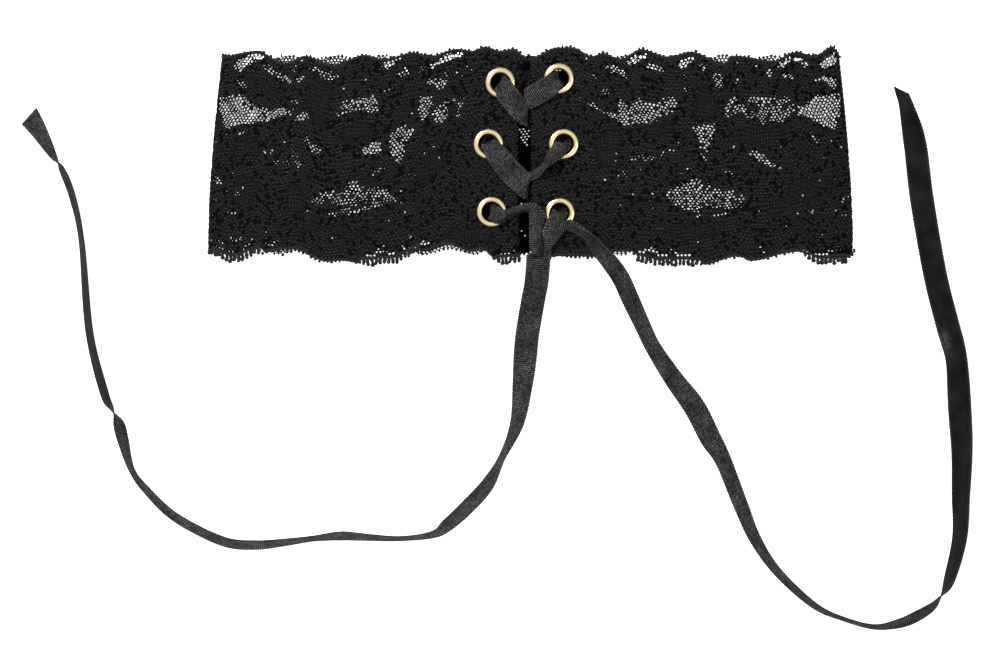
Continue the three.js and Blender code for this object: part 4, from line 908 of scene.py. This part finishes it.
def lace_panel(name, side, layer, start, end, pitch, closes=False):
    """A panel of the net between two distances along the cloth: a grid whose crosswise threads are taken out
    turn about, pulled to six-sided cells, each with its hole or its filling, then laid along the loop."""
    half_columns = 2 * round((end - start) / pitch)
    columns = half_columns + (0 if closes else 1)
    bm = bmesh.new()
    bmesh.ops.create_grid(bm, x_segments=columns, y_segments=NET_ROWS, size=0.5)
    at = {v: (round((v.co.x + 0.5) * columns), round((v.co.y + 0.5) * NET_ROWS)) for v in bm.verts}
    strayed = np.random.default_rng(7 + side)
    pulls = strayed.uniform((-1, -1, 0), (1, 1, 6), (2 * PULLS, 3))
    taken_out = []
    for edge in bm.edges:
        (c0, r0), (c1, r1) = at[edge.verts[0]], at[edge.verts[1]]
        if c0 == c1 and 0 < c0 < columns and (c0 + min(r0, r1)) % 2:
            taken_out.append(edge)
    from_end, from_edge = CALM_CELLS
    for v, (c, r) in at.items():
        x, y = c * HOLE_PITCH / 2, r * ROW_PITCH + (-ZIGZAG if (c + r) % 2 else ZIGZAG)
        inside = max(0, min(1, (c - 2) / from_end, (columns - 2 - c) / from_end, r / from_edge,
                            (NET_ROWS - r) / from_edge))
        sway = [math.sin(slant_x * x + slant_y * y + start_at) for slant_x, slant_y, start_at in pulls]
        x += inside * (NET_UNEVEN * strayed.uniform(-1, 1) + NET_SWAY * sum(sway[:PULLS]) / 2)
        y += inside * (NET_UNEVEN * strayed.uniform(-1, 1) + NET_SWAY * sum(sway[PULLS:]) / 2)
        v.co = (x, y, 0)
    bmesh.ops.dissolve_edges(bm, edges=taken_out, use_verts=False)
    halves = [f for f in bm.faces if len(f.verts) < 6]
    bmesh.ops.delete(bm, geom=halves, context="FACES")

    def along(u):
        return start + u * (end - start) / (half_columns * HOLE_PITCH / 2)

    def up(v):
        return v / (NET_ROWS * ROW_PITCH)

    cells = list(bm.faces)
    middles = np.array([f.calc_center_median()[:] for f in cells])
    places = on_cloth(side, along(middles[:, 0]), up(middles[:, 1]))
    kinds = cell_kinds(side, layer, places, along(middles[:, 0]), middles[:, 1])
    for x, y, *_ in EYELETS.values():
        off = np.hypot(places[:, 0] - x, places[:, 1] - y)
        kinds = np.where((off < EYELET_HOLE) & (layer == "front"), np.nan, kinds)
    dropped = [f for f, kind in zip(cells, kinds) if math.isnan(kind)]
    for size in HOLE_SIZES:
        holes = [f for f, kind in zip(cells, kinds) if kind == size]
        bmesh.ops.inset_individual(
            bm, faces=holes, thickness=HOLE_PITCH / 2 * (1 - size), depth=0, use_even_offset=True)
        dropped += holes
    for kind, height in ((RAISED, CROWN), (SUNK, -CROWN)):
        filled = [f for f, found in zip(cells, kinds) if found == kind]
        bmesh.ops.poke(bm, faces=filled, offset=height)
    bmesh.ops.delete(bm, geom=dropped, context="FACES")

    flat = np.array([v.co[:] for v in bm.verts])
    distance = along(flat[:, 0])
    place = on_cloth(side, distance, up(flat[:, 1]), flat[:, 2])
    petal = petalled(place[:, 0], place[:, 1]) * (layer == "front")
    knitted = bm.loops.layers.uv.new("knitted_mm")
    smoothness = bm.verts.layers.float.new("petal")
    stands = bm.verts.layers.float.new("relief")
    bm.verts.index_update()
    for i, v in enumerate(bm.verts):
        v.co = place[i]
        v[smoothness] = petal[i]
        v[stands] = flat[i, 2] / CROWN
    for face in bm.faces:
        for corner in face.loops:
            i = corner.vert.index
            corner[knitted].uv = (distance[i], flat[i, 1])
    if side < 0:
        bmesh.ops.reverse_faces(bm, faces=bm.faces)
    piece = finish_piece(name, bm, lace)
    wall = piece.modifiers.new("thickness", "SOLIDIFY")
    wall.thickness = LACE_THICKNESS * MM
    wall.offset = 0
    return piece


# Raschel-knitted nylon, black and dull. Its net and sunk cells are painted almost black as shade, and each
# raised filled cell is painted lighter on its crown for the little light it catches, with a faint dusty cast
# of plum and blue where the threads lie differently, fine specks painted lighter and darker for the glints
# and shade of the knit's loops, and darker courses that wind round the flowers. The petals' knit is really
# 0.25 mm a loop, and is drawn with loops of 0.4 mm and ribs 0.75 mm apart so that they show.
PETAL_RIB_PITCH = 0.75
LOOPS_A_MM = 2.6
lace, tree = new_material("lace_raschel_knit_nylon_black")
uv = add(tree, "ShaderNodeUVMap", {}, uv_map="knitted_mm")
petal = add(tree, "ShaderNodeAttribute", {}, attribute_name="petal")
stands = add(tree, "ShaderNodeAttribute", {}, attribute_name="relief")
split = add(tree, "ShaderNodeSeparateXYZ", {"Vector": uv.outputs[0]})
turns = add(tree, "ShaderNodeMath", {0: split.outputs["X"], 1: 2 * math.pi / PETAL_RIB_PITCH},
            operation="MULTIPLY")
ribs = add(tree, "ShaderNodeMath", {0: turns.outputs[0]}, operation="SINE")
ribs = add(tree, "ShaderNodeMapRange", {"Value": ribs.outputs[0], "From Min": -1, "From Max": 1})
ribs = add(tree, "ShaderNodeMath", {0: ribs.outputs[0], 1: petal.outputs["Fac"]}, operation="MULTIPLY")
crown = add(tree, "ShaderNodeMapRange", {"Value": stands.outputs["Fac"], "From Min": -0.1, "From Max": 0.9})
cast = add(tree, "ShaderNodeTexNoise", {"Vector": uv.outputs[0], "Scale": 0.17, "Detail": 2})
cast = add(tree, "ShaderNodeMapRange", {"Value": cast.outputs["Fac"], "From Min": 0.4, "From Max": 0.62})
tinted = add(tree, "ShaderNodeMix", {
    "Factor": cast.outputs[0], 6: colour("#2a2728"), 7: colour("#262628")}, data_type="RGBA")
# Painted shade and light: the net's threads and sunk cells are painted near black, and each raised cell
# lighter towards its crown.
base = add(tree, "ShaderNodeMix", {
    "Factor": crown.outputs[0], 6: colour("#060607"), 7: tinted.outputs[2]}, data_type="RGBA")
close = add(tree, "ShaderNodeMix", {
    "Factor": ribs.outputs[0], 6: colour("#121213"), 7: colour("#1e1e21")}, data_type="RGBA")
base = add(tree, "ShaderNodeMix", {
    "Factor": petal.outputs["Fac"], 6: base.outputs[2], 7: close.outputs[2]}, data_type="RGBA")
# Painted glints and shade: a fine noise about 0.5 mm across scales the colour from a fifth to nearly twice as
# bright in specks, for light catching the knit's loops. The same noise bumps the surface.
glint_specks = add(tree, "ShaderNodeTexNoise", {"Vector": uv.outputs[0], "Scale": 2.1, "Detail": 3, "Roughness": 0.7})
tone = add(tree, "ShaderNodeMapRange", {
    "Value": glint_specks.outputs["Fac"], "From Min": 0.33, "From Max": 0.67, "To Min": 0.2, "To Max": 1.8})
courses = add(tree, "ShaderNodeTexWave", {
    "Vector": uv.outputs[0], "Scale": 0.33, "Distortion": 11, "Detail": 2, "Detail Scale": 0.5},
    bands_direction="Y")
drawn_in = add(tree, "ShaderNodeMapRange", {"Value": courses.outputs["Fac"], "To Min": 0.5, "To Max": 1.25})
tone = add(tree, "ShaderNodeMath", {0: tone.outputs[0], 1: drawn_in.outputs[0]}, operation="MULTIPLY")
base = add(tree, "ShaderNodeMix", {
    "Factor": 1, 6: base.outputs[2], 7: tone.outputs[0]}, data_type="RGBA", blend_type="MULTIPLY")
loops = add(tree, "ShaderNodeTexVoronoi", {"Vector": uv.outputs[0], "Scale": LOOPS_A_MM, "Randomness": 0.7})
relief = add(tree, "ShaderNodeMath", {0: loops.outputs["Distance"], 1: -0.6, 2: ribs.outputs[0]},
             operation="MULTIPLY_ADD")
relief = add(tree, "ShaderNodeMath", {0: glint_specks.outputs["Fac"], 1: 0.8, 2: relief.outputs[0]},
             operation="MULTIPLY_ADD")
bump = add(tree, "ShaderNodeBump", {"Height": relief.outputs[0], "Strength": 0.8, "Distance": 0.12 * MM})
shader = add(tree, "ShaderNodeBsdfPrincipled", {
    "Base Color": base.outputs[2], "Roughness": 0.75, "Normal": bump.outputs[0], "Specular IOR Level": 0.03})
add(tree, "ShaderNodeOutputMaterial", {"Surface": shader.outputs[0]})

# Finished edges of the lace
# Both edges of the galloon carry picots, small knitted beads, and in front a thin knotted gimp thread. In the
# low scallops of the bottom edge the picots run out to short knotted bars.
GIMP_WIDTH = 0.7
GIMP_HEIGHT = 0.45
GIMP_OUT = 0.12  # of its middle from the cloth's
GIMP_STEP = 0.25
GIMP_KNOTS = 0.25  # how much thicker it is at its knots, and thinner between them
PICOT_PITCH = 1.05
PICOT_LENGTH = 0.95
PICOT_WIDTH = 0.8
PICOT_HALF_HEIGHT = 0.26
PICOT_SIZES = (0.7, 1.25)  # the least and the most that uneven knitting makes of one
PICOT_STRAY = (-0.3, 0.35)  # inward
TIP_BEAD = 0.33  # half the size of the smaller beads in a second row, between the picots
TIP_IN = 0.35  # of that row, from the picots' inner ends
BACK_BEAD = (0.35, 0.4)  # half width and half length of the back's own picots
BAR_FROM = 0.7  # depth of the fringe from which bars stand in for picots
BAR_BEAD = 0.55
BAR_RISES = (1, 2, 3.2)  # of a bar's three beads, in beads
BAR_STRAY = 0.15  # sideways
BAR_SIZES = (0.75, 1.15)

# Twisted filament yarn: a little glossier than the net, uneven in tone where its plies cross, 0.5 mm apart.
gimp, tree = new_material("gimp_twisted_nylon_black")
place = add(tree, "ShaderNodeTexCoord", {})
plies = add(tree, "ShaderNodeTexNoise", {"Vector": place.outputs["Object"], "Scale": 1800, "Detail": 3})
tone = add(tree, "ShaderNodeMix", {
    "Factor": plies.outputs["Fac"], 6: colour("#060606"), 7: colour("#2a2829")}, data_type="RGBA")
bump = add(tree, "ShaderNodeBump", {"Height": plies.outputs["Fac"], "Strength": 0.7, "Distance": 0.12 * MM})
shader = add(tree, "ShaderNodeBsdfPrincipled", {
    "Base Color": tone.outputs[2], "Roughness": 0.65, "Normal": bump.outputs[0], "Specular IOR Level": 0.12})
add(tree, "ShaderNodeOutputMaterial", {"Surface": shader.outputs[0]})


def gimp_thread(trim, side, start, end, edge, inward):
    """Adds the gimp along one edge: a grid rolled to a tube, thick and thin with its knots."""
    steps = round((end - start) / GIMP_STEP)
    thread = bmesh.new()
    bmesh.ops.create_grid(thread, x_segments=steps, y_segments=8, size=0.5)
    flat = np.array([v.co[:] for v in thread.verts])
    distance = start + (flat[:, 0] + 0.5) * (end - start)
    turn = 2 * np.pi * (flat[:, 1] + 0.5)
    knotted = 1 + GIMP_KNOTS * np.cos(2 * np.pi * distance / PICOT_PITCH)
    out = GIMP_HEIGHT / 2 * knotted * np.sin(turn) + GIMP_OUT
    places = on_cloth(side, distance, np.full(len(distance), edge), out)
    places[:, 1] += GIMP_WIDTH / 2 * knotted * np.cos(turn) + inward * GIMP_WIDTH / 2
    for v, place in zip(thread.verts, places):
        v.co = place
    bmesh.ops.remove_doubles(thread, verts=thread.verts, dist=MERGE_DISTANCE)
    bmesh.ops.holes_fill(thread, edges=[e for e in thread.edges if e.is_boundary], sides=0)
    bmesh.ops.recalc_face_normals(thread, faces=thread.faces)
    spare = bpy.data.meshes.new("gimp")
    thread.to_mesh(spare)
    thread.free()
    trim.from_mesh(spare)
    bpy.data.meshes.remove(spare)


def bead(trim, x, y, z, half_width, half_length):
    """Adds one small knitted bead to an edge."""
    sized = Matrix.Translation((x, y, z)) @ Matrix.Diagonal((half_width, half_length, PICOT_HALF_HEIGHT, 1))
    bmesh.ops.create_uvsphere(trim, u_segments=8, v_segments=5, radius=1, matrix=sized)


def edge_trim(name, side, layer, start, end):
    """The gimp and the picots of one panel, along its top and bottom edges."""
    trim = bmesh.new()
    chance = np.random.default_rng(3 + side + (2 if layer == "front" else 0))
    for edge, inward in ((1.0, -1), (0.0, 1)):
        if layer == "front":
            gimp_thread(trim, side, start, end, edge, inward)
        count = int((end - start) / PICOT_PITCH)
        stations = start + (np.arange(count) + 0.5) * (end - start) / count
        tips = on_cloth(side, stations, np.full(count, edge), 0.1, inset=0)
        for x, y, z in tips:
            size = chance.uniform(*PICOT_SIZES)
            y += inward * chance.uniform(*PICOT_STRAY)
            if layer == "back":
                half_width, half_length = BACK_BEAD
                bead(trim, x, y + inward * half_length, z, half_width * size, half_length)
                continue
            bar = FRINGE_DEPTH * float(fringed(x)) if inward > 0 else 0
            if bar > BAR_FROM:
                for rise in BAR_RISES:
                    shift = chance.uniform(-BAR_STRAY, BAR_STRAY)
                    bead(trim, x + shift, y + inward * rise * BAR_BEAD, z, BAR_BEAD * size, BAR_BEAD)
                    size = chance.uniform(*BAR_SIZES)
            else:
                bead(trim, x, y + inward * PICOT_LENGTH / 2, z, PICOT_WIDTH / 2 * size, PICOT_LENGTH / 2)
                tip_y = y + inward * (PICOT_LENGTH + TIP_IN)
                bead(trim, x + PICOT_PITCH / 2, tip_y, z, TIP_BEAD * size, TIP_BEAD)
    return finish_piece(name, trim, gimp)


for side, hand in ((1, "right"), (-1, "left")):
    side_fold, middle = CORNERS["side"], CORNERS["back_middle"]
    front = lace_panel(f"lace_front_{hand}", side, "front", 0, side_fold, HOLE_PITCH)
    back = lace_panel(f"lace_back_{hand}", side, "back", side_fold, middle, BACK_PITCH, closes=side < 0)
    front_trim = edge_trim(f"gimp_front_{hand}", side, "front", CORNERS["placket_fold"], side_fold)
    back_trim = edge_trim(f"gimp_back_{hand}", side, "back", side_fold, middle)
    for panel, trim, length, held, under in (
            (front, front_trim, side_fold, "folded", back.name),
            (back, back_trim, middle - side_fold, "laid", "floor")):
        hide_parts("lace_band")

# Surface and light
# A plain white table, lit from within enough that the net stands clear against it, in a white room that is
# brightest overhead, with a soft lamp at the upper left and a weak broad one at the lower right.
FLOOR_SIZE = 8  # metres, as all sizes of this section are
bm = bmesh.new()
bmesh.ops.create_grid(bm, x_segments=1, y_segments=1, size=FLOOR_SIZE / 2)
floor_mesh = bpy.data.meshes.new("floor")
bm.to_mesh(floor_mesh)
bm.free()
floor = bpy.data.objects.new("floor", floor_mesh)
scene.collection.objects.link(floor)
table, tree = new_material("table_white_laminate")
shader = add(tree, "ShaderNodeBsdfPrincipled", {
    "Base Color": colour("#f2f2f2"), "Roughness": 0.9, "Specular IOR Level": 0.1,
    "Emission Color": colour("#ffffff"), "Emission Strength": 0.8})
add(tree, "ShaderNodeOutputMaterial", {"Surface": shader.outputs[0]})
floor_mesh.materials.append(table)

world = bpy.data.worlds.new("white_room")
scene.world = world
world.use_nodes = True
tree = world.node_tree
tree.nodes.clear()
direction = add(tree, "ShaderNodeTexCoord", {})
upward = add(tree, "ShaderNodeSeparateXYZ", {"Vector": direction.outputs["Generated"]})
level = add(tree, "ShaderNodeMapRange", {
    "Value": upward.outputs["Z"], "From Min": 0.3, "From Max": 0.85, "To Min": 0.25, "To Max": 0.88})
room = add(tree, "ShaderNodeBackground", {"Color": level.outputs[0]})
add(tree, "ShaderNodeOutputWorld", {"Surface": room.outputs[0]})

LIT_MIDDLE = (0, -0.03, 0)
for name, place, size, watts in (
        ("key_light", (-0.5, 0.6, 0.9), 0.35, 15), ("fill_light", (0.8, -0.35, 0.8), 0.9, 4)):
    lamp = bpy.data.lights.new(name, "AREA")
    lamp.size = size
    lamp.energy = watts
    light = bpy.data.objects.new(name, lamp)
    light.location = place
    light.rotation_euler = (Vector(LIT_MIDDLE) - Vector(place)).to_track_quat("-Z", "Y").to_euler()
    light.visible_camera = False
    scene.collection.objects.link(light)
scene.view_settings.view_transform = "Standard"
